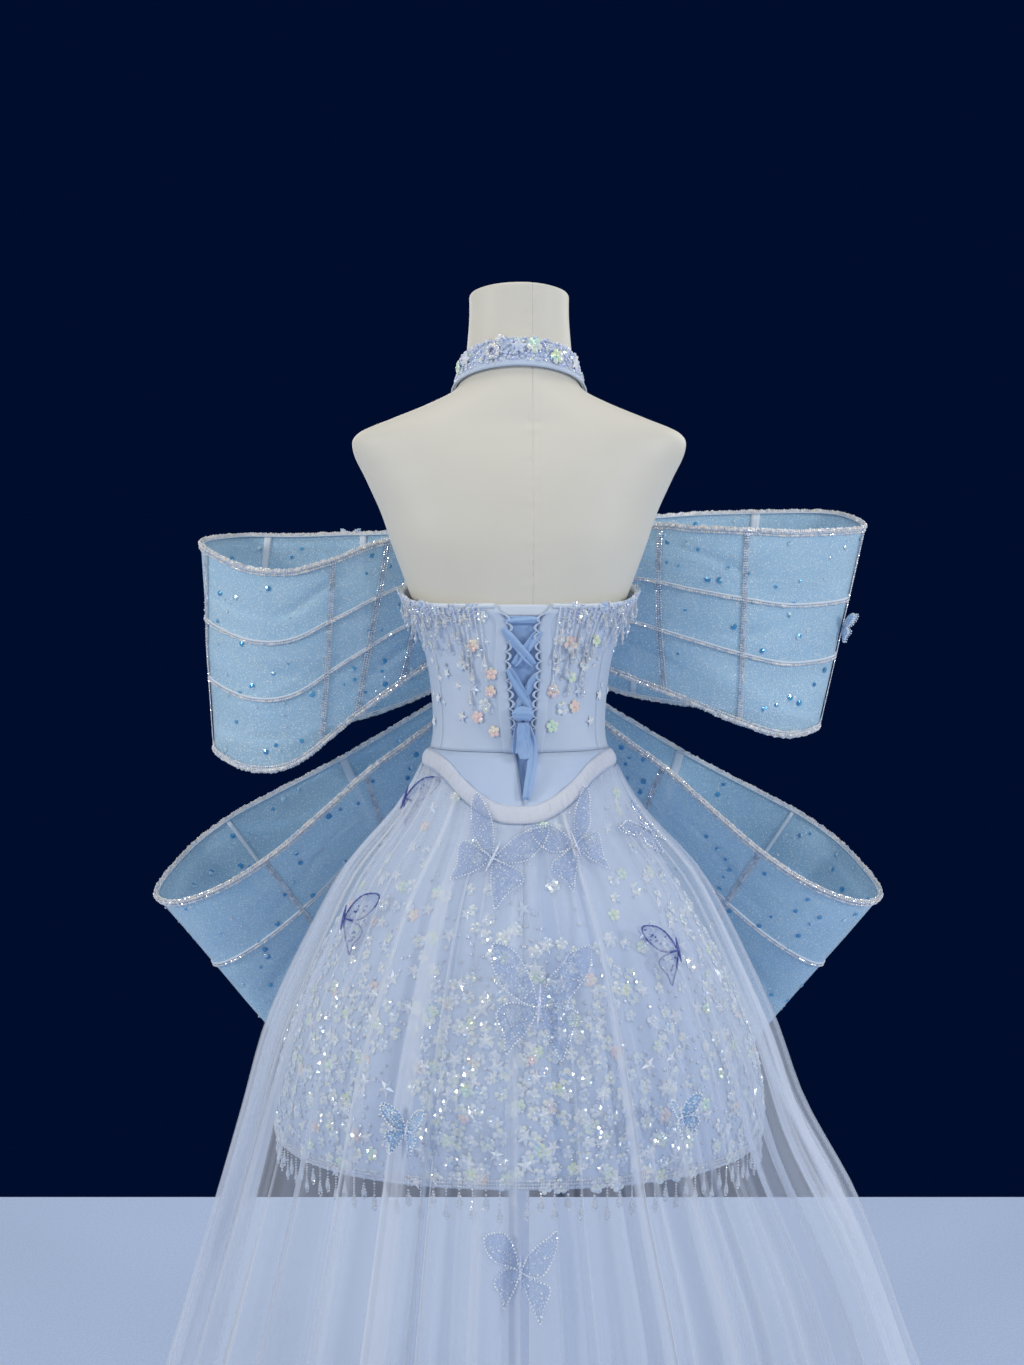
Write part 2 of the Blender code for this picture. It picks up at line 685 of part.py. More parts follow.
def build_fringes(look: bpy.types.Material) -> None:
    """Bead drops on the short skirt's hem and over the bodice's upper edge at the back."""
    def hem_edge(turn: float, below: float) -> Vector:
        return skirt_point(turn, hem_level(turn) - 2 * SEAM_GAP - below)

    fringe("hem_fringe", look, (-HEM_DROPS_END, HEM_DROPS_END), HEM_DROPS, HEM_DROP_LENGTH, hem_edge, HEM_RADIUS)

    def bodice_edge(turn: float, below: float) -> Vector:
        out = BODICE_OUT + (BODICE_THICKNESS + FRINGE_THICKNESS) / 2 + 4 * SEAM_GAP
        return bodice_point(turn, level(TOP_EDGE, turn) - BODICE_DROPS_BELOW - below, out)

    for name, ends in (("left", BODICE_DROPS_LEFT), ("right", BODICE_DROPS_RIGHT)):
        fringe(f"bodice_fringe_{name}", look, ends, BODICE_DROPS, BODICE_DROP_LENGTH, bodice_edge, BODICE_RADIUS)


def build_band(look: bpy.types.Material) -> None:
    """The overskirt's band, which dips at the centre back."""
    wall("overskirt_band", look, BAND_THICKNESS, steps(-WRAP_TURN, WRAP_TURN, 36), [0.0, 0.5, 1.0],
         lambda turn, down: skirt_point(turn, level(BAND_TOP, turn) - BAND_HEIGHT * down, BAND_OUT))


class Fold(NamedTuple):
    """One fold of the overskirt: where it starts and ends round the body, and how deep it is."""

    start: float
    end: float
    depth: float


def overskirt_folds() -> list[Fold]:
    """The overskirt's folds, uneven in width and depth."""
    rolls = random.Random(11)
    widths = [rolls.uniform(0.75, 1.3) for _ in range(FOLDS)]
    scale = 2 * WRAP_TURN / sum(widths)
    folds = []
    start = -WRAP_TURN
    for width in widths:
        folds.append(Fold(start, start + width * scale, rolls.uniform(0.6, 1.25)))
        start = folds[-1].end
    return folds


def overskirt_point(turn: float, down: float, swing: float) -> Vector:
    """A point on the overskirt, from the band at 0 to the hem at 1, moved in or out by its fold."""
    top = level(BAND_TOP, turn) - BAND_HEIGHT - 4 * SEAM_GAP
    height = top + (OVERSKIRT_HEM - top) * down
    depth = swing * (FOLD_AT_BAND + (FOLD_AT_HEM - FOLD_AT_BAND) * down)
    held = skirt_point(turn, height, TULLE_OUT + depth)
    if down == 0:
        return held
    free = section_point(section_at(OVERSKIRT_SECTIONS, height), turn, depth)
    return held.lerp(free, ease(-0.02, TULLE_SPREAD_AT, down))


def overskirt_sides() -> dict[str, list[Fold]]:
    """The folds of the overskirt's left and right halves, which meet at the back seam."""
    folds = overskirt_folds()
    seam = min((fold.start for fold in folds), key=lambda start: abs(start - TULLE_SEAM_TURN))
    return {"overskirt_left": [fold for fold in folds if fold.start >= seam],
            "overskirt_right": [fold for fold in folds if fold.start < seam]}


def build_overskirt(look: bpy.types.Material) -> None:
    """The long gathered overskirt, open at the front and seamed at the back."""
    for name, folds in overskirt_sides().items():
        turns, swings = [], {}
        for fold in folds:
            for index in range(COLUMNS_PER_FOLD):
                part = index / COLUMNS_PER_FOLD
                turn = fold.start + (fold.end - fold.start) * part
                turns.append(turn)
                swings[turn] = fold.depth * math.sin(2 * math.pi * part)
        turns.append(folds[-1].end)
        swings[turns[-1]] = 0.0
        gap = seam_turn()
        edges = {turns[0]: turns[0] + gap, turns[-1]: turns[-1] - gap}
        wall(name, look, TULLE_THICKNESS, turns, list(TULLE_ROWS),
             lambda turn, down, e=edges, s=swings: overskirt_point(e.get(turn, turn), down, s[turn]))


def knot_rounding(reach: float, height: float) -> float:
    """How far the rounding at the edge of the bow knot's back falls away from its flat middle."""
    wide, _, tall = KNOT_SIZE
    aside = max(0.0, abs(reach) - wide / 2 + KNOT_BEVEL)
    above = max(0.0, abs(height - KNOT_LEVEL) - tall / 2 + KNOT_BEVEL)
    edge = min(KNOT_BEVEL, math.hypot(aside, above))
    return KNOT_BEVEL - math.sqrt(KNOT_BEVEL ** 2 - edge ** 2)


def build_bow_knot(look: bpy.types.Material) -> None:
    """The bow's knot, sewn to the bodice front."""
    wide, deep, tall = KNOT_SIZE
    touched = 0.0
    for turn in range(-18, 19, 3):
        for height in steps(KNOT_LEVEL - tall / 2, KNOT_LEVEL + tall / 2, 24):
            point = bodice_point(180 + turn, height, BODICE_OUT + BODICE_THICKNESS / 2)
            touched = max(touched, -point.y - knot_rounding(point.x, height))
    middle = Vector((0.0, -(touched + SEAM_GAP + deep / 2), KNOT_LEVEL))
    block("bow_knot", look, KNOT_SIZE, middle, KNOT_BEVEL)


def loop_point(loop: Loop, part: float, down: float) -> Vector:
    """A point on a bow loop: part runs from root to root, down from the upper edge to the lower one."""
    rows = tuple((index / (len(loop.stations) - 1), *station) for index, station in enumerate(loop.stations))
    reads = [between(rows, part, lambda row, c=column: row[c]) for column in range(1, 7)]
    top, low = Vector(reads[:3]), Vector(reads[3:])
    point = top.lerp(low, down)
    point.x *= loop.side
    return point


def loop_normal(loop: Loop, part: float, down: float) -> Vector:
    """The outward direction of a bow loop's ribbon."""
    step = 0.004
    along = loop_point(loop, min(1.0, part + step), down) - loop_point(loop, max(0.0, part - step), down)
    fall = loop_point(loop, part, 1.0) - loop_point(loop, part, 0.0)
    return along.cross(fall).normalized() * loop.side


def tape_rows(loop: Loop) -> list[float]:
    """The two edges of each ribbed line, as parts of the ribbon's width."""
    width = (loop_point(loop, 0.5, 1.0) - loop_point(loop, 0.5, 0.0)).length
    share = TAPE_WIDTH / width
    firsts = [min(max(line - share / 2, 0.0), 1.0 - share) for line in loop.lines]
    return [edge for first in firsts for edge in (first, first + share)]


def tape_columns(loop: Loop) -> tuple[list[float], set[int]]:
    """The columns along a loop, with two at each cross tape, and the places of the cross tapes."""
    parts = steps(0.0, 1.0, LOOP_COLUMNS)
    length = sum((loop_point(loop, b, 0.5) - loop_point(loop, a, 0.5)).length for a, b in zip(parts, parts[1:]))
    half = TAPE_WIDTH / 2 / length
    for middle in loop.tapes:
        nearest = min(parts[1:-1], key=lambda part, m=middle: abs(part - m))
        parts.remove(nearest)
        parts += [middle - half, middle + half]
    parts.sort()
    return parts, {parts.index(middle - half) for middle in loop.tapes}


def build_loop(loop: Loop, cloth: bpy.types.Material, tape: bpy.types.Material) -> None:
    """A bow loop's wide ribbon, and the grid of beaded tape on its outside, made from the same points."""
    columns, crossed = tape_columns(loop)
    rows = tape_rows(loop)
    wall(loop.name, cloth, RIBBON_THICKNESS, columns, rows,
         lambda part, down: loop_point(loop, part, down))
    out = (RIBBON_THICKNESS + TAPE_THICKNESS) / 2 + TAPE_GAP
    taped = range(2, len(columns) - 3)
    wall(f"{loop.name}_tape", tape, TAPE_THICKNESS, columns, rows,
         lambda part, down: loop_point(loop, part, down) + loop_normal(loop, part, down) * out,
         keep=lambda column, row: column in taped and (row % 2 == 0 or column in crossed))


class Perch(NamedTuple):
    """Where a butterfly is sewn: what carries it, its size, about where it sits, and the way it faces."""

    name: str
    carrier: str
    size: float
    seat: Vector
    facing: Vector


def fold_perch(name: str, size: float, turn: float, down: float) -> Perch:
    """A place on the crest of the overskirt's fold that is nearest to a turn."""
    def crest(fold: Fold) -> float:
        return fold.start + (fold.end - fold.start) / COLUMNS_PER_FOLD

    fold = min(overskirt_folds(), key=lambda each: abs(crest(each) - turn))
    carrier = next(side for side, folds in overskirt_sides().items() if fold in folds)
    seat = overskirt_point(crest(fold), down, fold.depth)
    fall = (overskirt_point(crest(fold), down + 0.05, fold.depth) - seat).normalized()
    outward = Vector((seat.x, seat.y, 0.0)).normalized()
    return Perch(name, carrier, size, seat, (outward - fall * outward.dot(fall)).normalized())


def loop_perch(name: str, size: float, loop: Loop, part: float, down: float) -> Perch:
    """A place on the outside of a bow loop."""
    return Perch(name, loop.name, size, loop_point(loop, part, down), loop_normal(loop, part, down))


def build_butterfly(perch: Perch, look: bpy.types.Material) -> None:
    """A raised butterfly: four lobes lifted from its body line, seated on the outside of its carrier."""
    form = bmesh.new()
    bmesh.ops.create_circle(form, cap_ends=True, cap_tris=True, segments=BUTTERFLY_POINTS, radius=1.0)
    for vertex in form.verts:
        if vertex.co.length < 0.5:
            continue
        around = math.atan2(vertex.co.y, vertex.co.x)
        lobe = 0.3 + (0.7 if vertex.co.y > 0 else 0.5) * abs(math.sin(2 * around))
        vertex.co *= lobe * perch.size
        vertex.co.z = abs(vertex.co.x) * BUTTERFLY_RISE
    mesh = bpy.data.meshes.new(perch.name)
    form.to_mesh(mesh)
    form.free()
    made = add_object(perch.name, mesh, look)
    solid = made.modifiers.new("Thickness", "SOLIDIFY")
    solid.thickness = BUTTERFLY_THICKNESS
    solid.offset = 0.0

    carrier = BVHTree.FromObject(bpy.data.objects[perch.carrier], bpy.context.evaluated_depsgraph_get())
    seat = carrier.ray_cast(perch.seat + perch.facing * perch.size, -perch.facing)[0]
    up = Vector((0, 0, 1)) - perch.facing * perch.facing.z
    turned = Matrix((up.cross(perch.facing).normalized(), up.normalized(), perch.facing)).transposed()
    lift = BUTTERFLY_THICKNESS / 2 + 3 * SEAM_GAP
    made.matrix_world = Matrix.Translation(seat + perch.facing * lift) @ turned.to_4x4()


def build_butterflies(look: bpy.types.Material) -> None:
    """The raised organza butterflies on the overskirt and on the bow."""
    bpy.context.view_layer.update()
    build_butterfly(fold_perch("butterfly_1", 0.030, 26.0, 0.30), look)
    build_butterfly(fold_perch("butterfly_2", 0.024, -27.0, 0.30), look)
    build_butterfly(loop_perch("butterfly_3", 0.026, LOOPS[0], 0.71, 0.17), look)
    build_butterfly(loop_perch("butterfly_4", 0.024, LOOPS[1], 0.50, 0.50), look)


def clear_scene() -> None:
    """Remove the objects that the scene starts with, and add the dress's collection."""
    for old in list(bpy.data.objects):
        bpy.data.objects.remove(old)
    bpy.context.scene.collection.children.link(bpy.data.collections.new("prom_dress"))


def main() -> None:
    """Build the dress and its form."""
    clear_scene()
    cream = material("form_cloth", (0.80, 0.79, 0.74), 0.55)
    metal = material("stand_metal", (0.62, 0.62, 0.64), 0.35)
    satin = material("bodice_satin", (0.62, 0.68, 0.86), 0.40)
    ribbon = material("lacing_satin", (0.42, 0.55, 0.84), 0.30)
    beads = material("bead_work", (0.78, 0.80, 0.92), 0.25)
    tulle = material("tulle", (0.72, 0.73, 0.88), 0.80, 0.6)
    band = material("band_tulle", (0.74, 0.76, 0.90), 0.70)
    organza = material("glitter_organza", (0.50, 0.66, 0.90), 0.45, 0.8)
    build_form(cream)
    build_stand(metal)
    build_collar(beads)
    build_strap("strap_left", 1.0, satin)
    build_strap("strap_right", -1.0, satin)
    build_bodice(satin)
    build_modesty_panel(ribbon)
    build_lacing(ribbon)
    build_skirt(satin)
    build_fringes(beads)
    build_band(band)
    build_overskirt(tulle)
    build_bow_knot(organza)
    for loop in LOOPS:
        build_loop(loop, organza, beads)
    build_butterflies(organza)


if __name__ == "__main__":
    main()
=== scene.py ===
"""The looks of a laced, beaded halter prom dress with a four-loop bow, standing on its dress form.

Metres, +Z up.  The front faces -Y, the laced back faces +Y and the wearer's left is +X.
A turn is an angle round the body in degrees, from 0 at the centre back towards the wearer's left.
"""

import logging
import math
import random
from dataclasses import dataclass, field
from enum import Enum
from functools import lru_cache
from typing import Callable, Iterable, Optional

import bmesh
import bpy
from mathutils import Matrix, Vector, noise

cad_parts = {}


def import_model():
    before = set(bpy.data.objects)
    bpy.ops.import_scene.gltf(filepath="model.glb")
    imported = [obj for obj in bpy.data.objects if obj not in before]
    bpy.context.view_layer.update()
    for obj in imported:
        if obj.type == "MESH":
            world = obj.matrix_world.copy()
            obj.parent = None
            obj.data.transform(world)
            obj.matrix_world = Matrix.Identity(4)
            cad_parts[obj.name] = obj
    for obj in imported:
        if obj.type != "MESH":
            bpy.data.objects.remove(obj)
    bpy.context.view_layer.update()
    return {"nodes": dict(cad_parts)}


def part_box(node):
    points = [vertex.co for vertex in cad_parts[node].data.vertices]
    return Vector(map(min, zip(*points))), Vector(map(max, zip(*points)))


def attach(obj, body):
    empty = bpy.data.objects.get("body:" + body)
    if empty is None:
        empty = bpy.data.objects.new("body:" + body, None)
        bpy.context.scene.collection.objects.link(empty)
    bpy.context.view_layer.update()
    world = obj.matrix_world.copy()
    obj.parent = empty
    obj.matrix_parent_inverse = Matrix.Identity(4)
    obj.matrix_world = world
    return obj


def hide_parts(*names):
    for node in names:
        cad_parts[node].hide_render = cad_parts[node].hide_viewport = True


LOG = logging.getLogger("prom_dress")
BODY = "root"
FINE_BUMP = 0.0003

Point2 = tuple[float, float]
Colour = tuple[float, float, float]
Place = Callable[[float, float], Vector]
Seat = Callable[[float, float, float], Vector]
FULL_TURN = 360.0
LEAST_SIDE = 0.01
LEAST_FILL = 0.31
SIDES = (("left", 1.0), ("right", -1.0))
UP = Vector((0.0, 0.0, 1.0))

# Half sizes at each height: height, side, back, front
BODY_ROWS = (
    (1.586, 0.059, 0.056, 0.052), (1.560, 0.059, 0.056, 0.053), (1.532, 0.061, 0.057, 0.055),
    (1.505, 0.064, 0.060, 0.057), (1.484, 0.070, 0.063, 0.058), (1.470, 0.080, 0.067, 0.059),
    (1.454, 0.113, 0.071, 0.059), (1.438, 0.154, 0.074, 0.058), (1.422, 0.192, 0.077, 0.058),
    (1.404, 0.198, 0.082, 0.061), (1.370, 0.183, 0.090, 0.074), (1.330, 0.165, 0.096, 0.090),
    (1.286, 0.150, 0.099, 0.103), (1.226, 0.128, 0.094, 0.109), (1.166, 0.108, 0.086, 0.099),
    (1.118, 0.100, 0.077, 0.087), (1.070, 0.098, 0.073, 0.083), (1.050, 0.1015, 0.0735, 0.0845),
    (1.020, 0.111, 0.082, 0.088), (1.000, 0.119, 0.089, 0.092), (0.930, 0.146, 0.112, 0.103),
    (0.870, 0.162, 0.120, 0.103), (0.800, 0.158, 0.113, 0.098), (0.750, 0.150, 0.104, 0.092))
SKIRT_ROWS = (
    (1.050, 0.1059, 0.0779, 0.0889), (1.020, 0.1168, 0.0878, 0.0952), (1.000, 0.1260, 0.0970, 0.1040),
    (0.960, 0.1460, 0.1200, 0.1220), (0.920, 0.1690, 0.1450, 0.1440), (0.866, 0.2020, 0.1760, 0.1720),
    (0.794, 0.2420, 0.2060, 0.2000), (0.722, 0.2730, 0.2260, 0.2180), (0.650, 0.2900, 0.2370, 0.2300),
    (0.600, 0.2900, 0.2380, 0.2320), (0.560, 0.2860, 0.2350, 0.2290))
# The same where the sides differ: height, left, right, back, front
OVERSKIRT_ROWS = (
    (1.050, 0.112, 0.112, 0.084, 0.095), (0.990, 0.146, 0.146, 0.112, 0.118),
    (0.926, 0.196, 0.198, 0.156, 0.158), (0.866, 0.228, 0.232, 0.196, 0.190),
    (0.794, 0.263, 0.266, 0.232, 0.222), (0.722, 0.293, 0.297, 0.258, 0.244),
    (0.626, 0.319, 0.330, 0.286, 0.262), (0.506, 0.353, 0.393, 0.330, 0.282),
    (0.308, 0.410, 0.463, 0.405, 0.318), (0.000, 0.500, 0.580, 0.560, 0.380))

# Heights round the body: turn, height
TOP_EDGE = ((0, 1.217), (40, 1.217), (64, 1.222), (85, 1.233), (108, 1.246), (135, 1.296), (158, 1.298),
            (180, 1.266))
BAND_TOP = ((0, 0.992), (8, 0.9935), (17, 1.001), (32, 1.0195), (46, 1.037), (65, 1.047), (120, 1.048))
# The laced opening: height, half width; its middle lies a little to the right of the centre back
OPENING_MIDDLE = -0.004
OPENING = ((1.217, 0.0300), (1.196, 0.0168), (1.150, 0.0180), (1.112, 0.0145), (1.081, 0.0123),
           (1.050, 0.0079), (1.000, 0.0012))

# Places along a bow loop: the upper edge's reach, back and height, then the lower edge's
ROOT = 0.0381
UPPER_LEFT = (
    (ROOT, -0.142, 1.190, ROOT, -0.142, 1.150), (0.085, -0.150, 1.272, 0.075, -0.152, 1.148),
    (0.152, -0.088, 1.304, 0.112, -0.115, 1.150), (0.237, -0.060, 1.2745, 0.205, -0.075, 1.085),
    (0.290, -0.055, 1.2616, 0.280, -0.065, 1.025), (0.348, -0.070, 1.269, 0.342, -0.080, 1.015),
    (0.4125, -0.120, 1.302, 0.398, -0.125, 1.037), (0.384, -0.195, 1.319, 0.375, -0.190, 1.055),
    (0.304, -0.215, 1.321, 0.295, -0.205, 1.058), (0.219, -0.210, 1.323, 0.210, -0.205, 1.075),
    (0.140, -0.195, 1.318, 0.130, -0.195, 1.105), (0.085, -0.180, 1.275, 0.075, -0.180, 1.140),
    (ROOT, -0.165, 1.190, ROOT, -0.165, 1.150))
UPPER_RIGHT = (
    (ROOT, -0.142, 1.190, ROOT, -0.142, 1.150), (0.085, -0.150, 1.285, 0.075, -0.152, 1.146),
    (0.160, -0.088, 1.320, 0.112, -0.115, 1.142), (0.225, -0.062, 1.316, 0.205, -0.075, 1.106),
    (0.283, -0.055, 1.313, 0.272, -0.065, 1.078), (0.352, -0.070, 1.312, 0.338, -0.080, 1.058),
    (0.449, -0.125, 1.3235, 0.393, -0.125, 1.066), (0.430, -0.195, 1.350, 0.380, -0.190, 1.080),
    (0.322, -0.215, 1.353, 0.300, -0.205, 1.085), (0.215, -0.210, 1.348, 0.205, -0.205, 1.095),
    (0.140, -0.195, 1.335, 0.130, -0.195, 1.112), (0.085, -0.180, 1.285, 0.075, -0.180, 1.142),
    (ROOT, -0.165, 1.190, ROOT, -0.165, 1.150))
LOWER = (
    (ROOT, -0.142, 1.138, ROOT, -0.142, 1.100), (0.115, -0.125, 1.066, 0.085, -0.190, 0.900),
    (0.190, -0.095, 1.012, 0.160, -0.215, 0.815), (0.248, -0.085, 0.960, 0.200, -0.220, 0.762),
    (0.315, -0.080, 0.903, 0.240, -0.218, 0.706), (0.384, -0.090, 0.859, 0.280, -0.210, 0.655),
    (0.450, -0.115, 0.834, 0.310, -0.202, 0.615), (0.486, -0.155, 0.840, 0.316, -0.215, 0.600),
    (0.463, -0.225, 0.882, 0.308, -0.275, 0.625), (0.412, -0.245, 0.923, 0.290, -0.300, 0.662),
    (0.356, -0.255, 0.954, 0.262, -0.315, 0.700), (0.245, -0.245, 1.012, 0.195, -0.305, 0.785),
    (0.122, -0.200, 1.085, 0.095, -0.255, 0.890), (ROOT, -0.165, 1.138, ROOT, -0.165, 1.100))


def between(rows: tuple, at: float, column: int) -> float:
    """Read one column of a table smoothly.

    Args:
        rows: The table, in order of its first column.
        at: The place in the first column.
        column: The column wanted.

    Returns:
        The value there.
    """
    keys = [row[0] for row in rows]
    rising = keys[0] < keys[-1]
    index = sum(1 for key in keys if (key <= at if rising else key >= at)) - 1
    index = max(0, min(len(rows) - 2, index))

    def slope(place: int) -> float:
        """The table's slope at one of its rows."""
        low, high = max(0, place - 1), min(len(rows) - 1, place + 1)
        return (rows[high][column] - rows[low][column]) / (keys[high] - keys[low])

    span = keys[index + 1] - keys[index]
    part = max(0.0, min(1.0, (at - keys[index]) / span))
    start, end = rows[index][column], rows[index + 1][column]
    lead, trail = slope(index) * span, slope(index + 1) * span
    return ((2 * part ** 3 - 3 * part ** 2 + 1) * start + (part ** 3 - 2 * part ** 2 + part) * lead
            + (3 * part ** 2 - 2 * part ** 3) * end + (part ** 3 - part ** 2) * trail)


def ease(low: float, high: float, at: float) -> float:
    """Nothing below low, one above high, and a smooth rise between them."""
    part = max(0.0, min(1.0, (at - low) / (high - low)))
    return part * part * (3 - 2 * part)


def steps(start: float, end: float, count: int) -> list[float]:
    """Evenly spaced values from start to end, count spaces in all."""
    return [start + (end - start) * index / count for index in range(count + 1)]


def around(turn: float) -> float:
    """How far a turn is from the centre back, from 0 to 180."""
    return abs((turn + 180) % FULL_TURN - 180)


def facing_out(turn: float) -> Vector:
    """The level direction straight out from the body at a turn."""
    return Vector((math.sin(math.radians(turn)), math.cos(math.radians(turn)), 0.0))


def even_sided(rows: tuple) -> tuple:
    """A form's rows with the same half size to the left and to the right."""
    return tuple((height, side, side, back, front) for height, side, back, front in rows)


@dataclass(frozen=True, eq=False)
class Shape:
    """A form given by its half sizes at each height."""

    rows: tuple

    @lru_cache(maxsize=None)
    def at(self, height: float) -> tuple[float, ...]:
        """The half sizes to the left, right, back and front at a height."""
        return tuple(between(self.rows, height, column) for column in range(1, 5))

    def point(self, turn: float, height: float, out: float = 0.0) -> Vector:
        """A point on the form, moved out from it."""
        left, right, back, front = self.at(height)
        across, along = math.sin(math.radians(turn)), math.cos(math.radians(turn))
        side = left if across > 0 else right
        depth = back if along > 0 else front
        return Vector(((side + out) * across, (depth + out) * along, height))

    def turn_for(self, reach: float, height: float) -> float:
        """The turn at which the back of the form is this far to the side."""
        side = self.at(height)[0 if reach > 0 else 1]
        return math.degrees(math.asin(max(-1.0, min(1.0, reach / side))))


@dataclass(frozen=True, eq=False)
class BodyShape(Shape):
    """The dress form's shape, with the bust raised at the front."""

    bust_rise: float = 0.026
    bust_reach: float = 0.076
    bust_height: float = 1.232
    bust_spread: float = 0.046

    def point(self, turn: float, height: float, out: float = 0.0) -> Vector:
        """A point on the dress form, moved out from it."""
        point = super().point(turn, height, out)
        along = -math.cos(math.radians(turn))
        if along > 0:
            aside = (abs(point.x) - self.bust_reach) / self.bust_spread
            above = (height - self.bust_height) / self.bust_spread
            point.y -= self.bust_rise * math.exp(-aside ** 2 - above ** 2) * ease(0.4, 0.85, along)
        return point


FORM = BodyShape(even_sided(BODY_ROWS))
SKIRT = Shape(even_sided(SKIRT_ROWS))
SPREAD = Shape(OVERSKIRT_ROWS)


@dataclass(frozen=True)
class Number:
    """A number socket that adds Math nodes when it is used in a Python expression."""

    maker: "NodeMaker"
    socket: bpy.types.NodeSocket

    def _math(self, operation: str, *values: "Number | float") -> "Number":
        """One Math node on these values."""
        sockets = dict(enumerate(values))
        return self.maker.number(self.maker.node("ShaderNodeMath", {"operation": operation}, sockets))

    def __add__(self, other: "Number | float") -> "Number":
        """The sum."""
        return self._math("ADD", self, other)

    __radd__ = __add__

    def __mul__(self, other: "Number | float") -> "Number":
        """The product."""
        return self._math("MULTIPLY", self, other)

    __rmul__ = __mul__

    def __sub__(self, other: "Number | float") -> "Number":
        """The difference."""
        return self._math("SUBTRACT", self, other)

    def __rsub__(self, other: float) -> "Number":
        """The difference, from a plain number."""
        return self._math("SUBTRACT", other, self)

    def sine(self) -> "Number":
        """The sine of it, in radians."""
        return self._math("SINE", self)

    def above(self, limit: float) -> "Number":
        """One where it is above a limit, and otherwise nothing."""
        return self._math("GREATER_THAN", self, limit)

    def within(self, low: float, high: float) -> "Number":
        """It, held between two limits."""
        return self._math("MINIMUM", self._math("MAXIMUM", self, low), high)


class NodeMaker:
    """Adds nodes to one node tree."""

    def __init__(self, tree: bpy.types.NodeTree) -> None:
        """Keep the tree and empty it."""
        self.tree = tree
        tree.nodes.clear()

    def node(self, kind: str, settings: Optional[dict] = None,
             sockets: Optional[dict] = None) -> bpy.types.Node:
        """Add a node.

        Args:
            kind: The node's type.
            settings: Its settings, which are set first; stops is a ramp's places and colours.
            sockets: The values or links of its inputs, by name or number.

        Returns:
            The node.
        """
        made = self.tree.nodes.new(kind)
        for key, value in (settings or {}).items():
            if key == "stops":
                self._set_stops(made.color_ramp, value)
            else:
                setattr(made, key, value)
        for key, value in (sockets or {}).items():
            value = value.socket if isinstance(value, Number) else value
            if isinstance(value, bpy.types.NodeSocket):
                self.tree.links.new(value, made.inputs[key])
            else:
                made.inputs[key].default_value = value
        return made

    @staticmethod
    def _set_stops(ramp: bpy.types.ColorRamp, stops: tuple) -> None:
        """Give a colour ramp its stops, two or more."""
        while len(ramp.elements) < len(stops):
            ramp.elements.new(0.5)
        for element, (place, colour) in zip(ramp.elements, stops):
            element.position = place
            element.color = (*colour, 1.0)

    def number(self, node: bpy.types.Node, output: "int | str" = 0) -> Number:
        """One of a node's outputs, for use in expressions."""
        return Number(self, node.outputs[output])

    def noise(self, scale: float, detail: float, place: Optional[bpy.types.NodeSocket] = None) -> Number:
        """Cloudy noise over the object, of a scale in 1/m."""
        place = self.place() if place is None else place
        return self.number(self.node("ShaderNodeTexNoise", None,
                                     {"Vector": place, "Scale": scale, "Detail": detail}))

    def cells(self, scale: float) -> tuple[Number, Number]:
        """Two random numbers that change from one small patch of the object to the next."""
        cells = self.node("ShaderNodeTexVoronoi", None, {"Vector": self.place(), "Scale": scale})
        parts = self.node("ShaderNodeSeparateColor", None, {0: cells.outputs["Color"]})
        return self.number(parts, 0), self.number(parts, 1)

    def place(self) -> bpy.types.NodeSocket:
        """The place on the object, in its own metres."""
        return self.node("ShaderNodeTexCoord").outputs["Object"]

    def bump(self, strength: float, distance: float, height: Number) -> bpy.types.NodeSocket:
        """A normal that follows a height, as far as a distance in metres."""
        made = self.node("ShaderNodeBump", None,
                         {"Strength": strength, "Distance": distance, "Height": height})
        return made.outputs[0]

    def blend(self, share: "Number | float", first: object, second: object) -> bpy.types.NodeSocket:
        """A colour between two colours or colour sockets."""
        first, second = ((*part, 1.0) if isinstance(part, tuple) else part for part in (first, second))
        mix = self.node("ShaderNodeMix", {"data_type": "RGBA"}, {0: share, 6: first, 7: second})
        return mix.outputs[2]


@dataclass(frozen=True)
class Finish:
    """What every finish has: a name, a colour, a darker shade of it and a roughness."""

    name: str
    colour: Colour
    shade: Colour
    roughness: float

    def material(self) -> bpy.types.Material:
        """The finish's material, made once."""
        known = bpy.data.materials.get(f"look_{self.name}")
        if known:
            return known
        made = bpy.data.materials.new(f"look_{self.name}")
        made.use_nodes = True
        maker = NodeMaker(made.node_tree)
        shader = maker.node("ShaderNodeBsdfPrincipled", None, {"Roughness": self.roughness})
        maker.node("ShaderNodeOutputMaterial", None, {"Surface": shader.outputs[0]})
        self.paint(maker, shader)
        return made

    def paint(self, maker: NodeMaker, shader: bpy.types.Node) -> None:
        """Add the nodes that make the finish."""
        raise NotImplementedError

    def mottled(self, maker: NodeMaker, scale: float) -> bpy.types.NodeSocket:
        """The colour, drifting to its shade in soft patches of a size in 1/m."""
        share = maker.noise(scale, 3.0) * 1.6 - 0.3
        return maker.blend(share.within(0.0, 1.0), self.colour, self.shade)

    @staticmethod
    def link(maker: NodeMaker, source: object, shader: bpy.types.Node, name: str) -> None:
        """Feed one of the shader's inputs."""
        source = source.socket if isinstance(source, Number) else source
        maker.tree.links.new(source, shader.inputs[name])


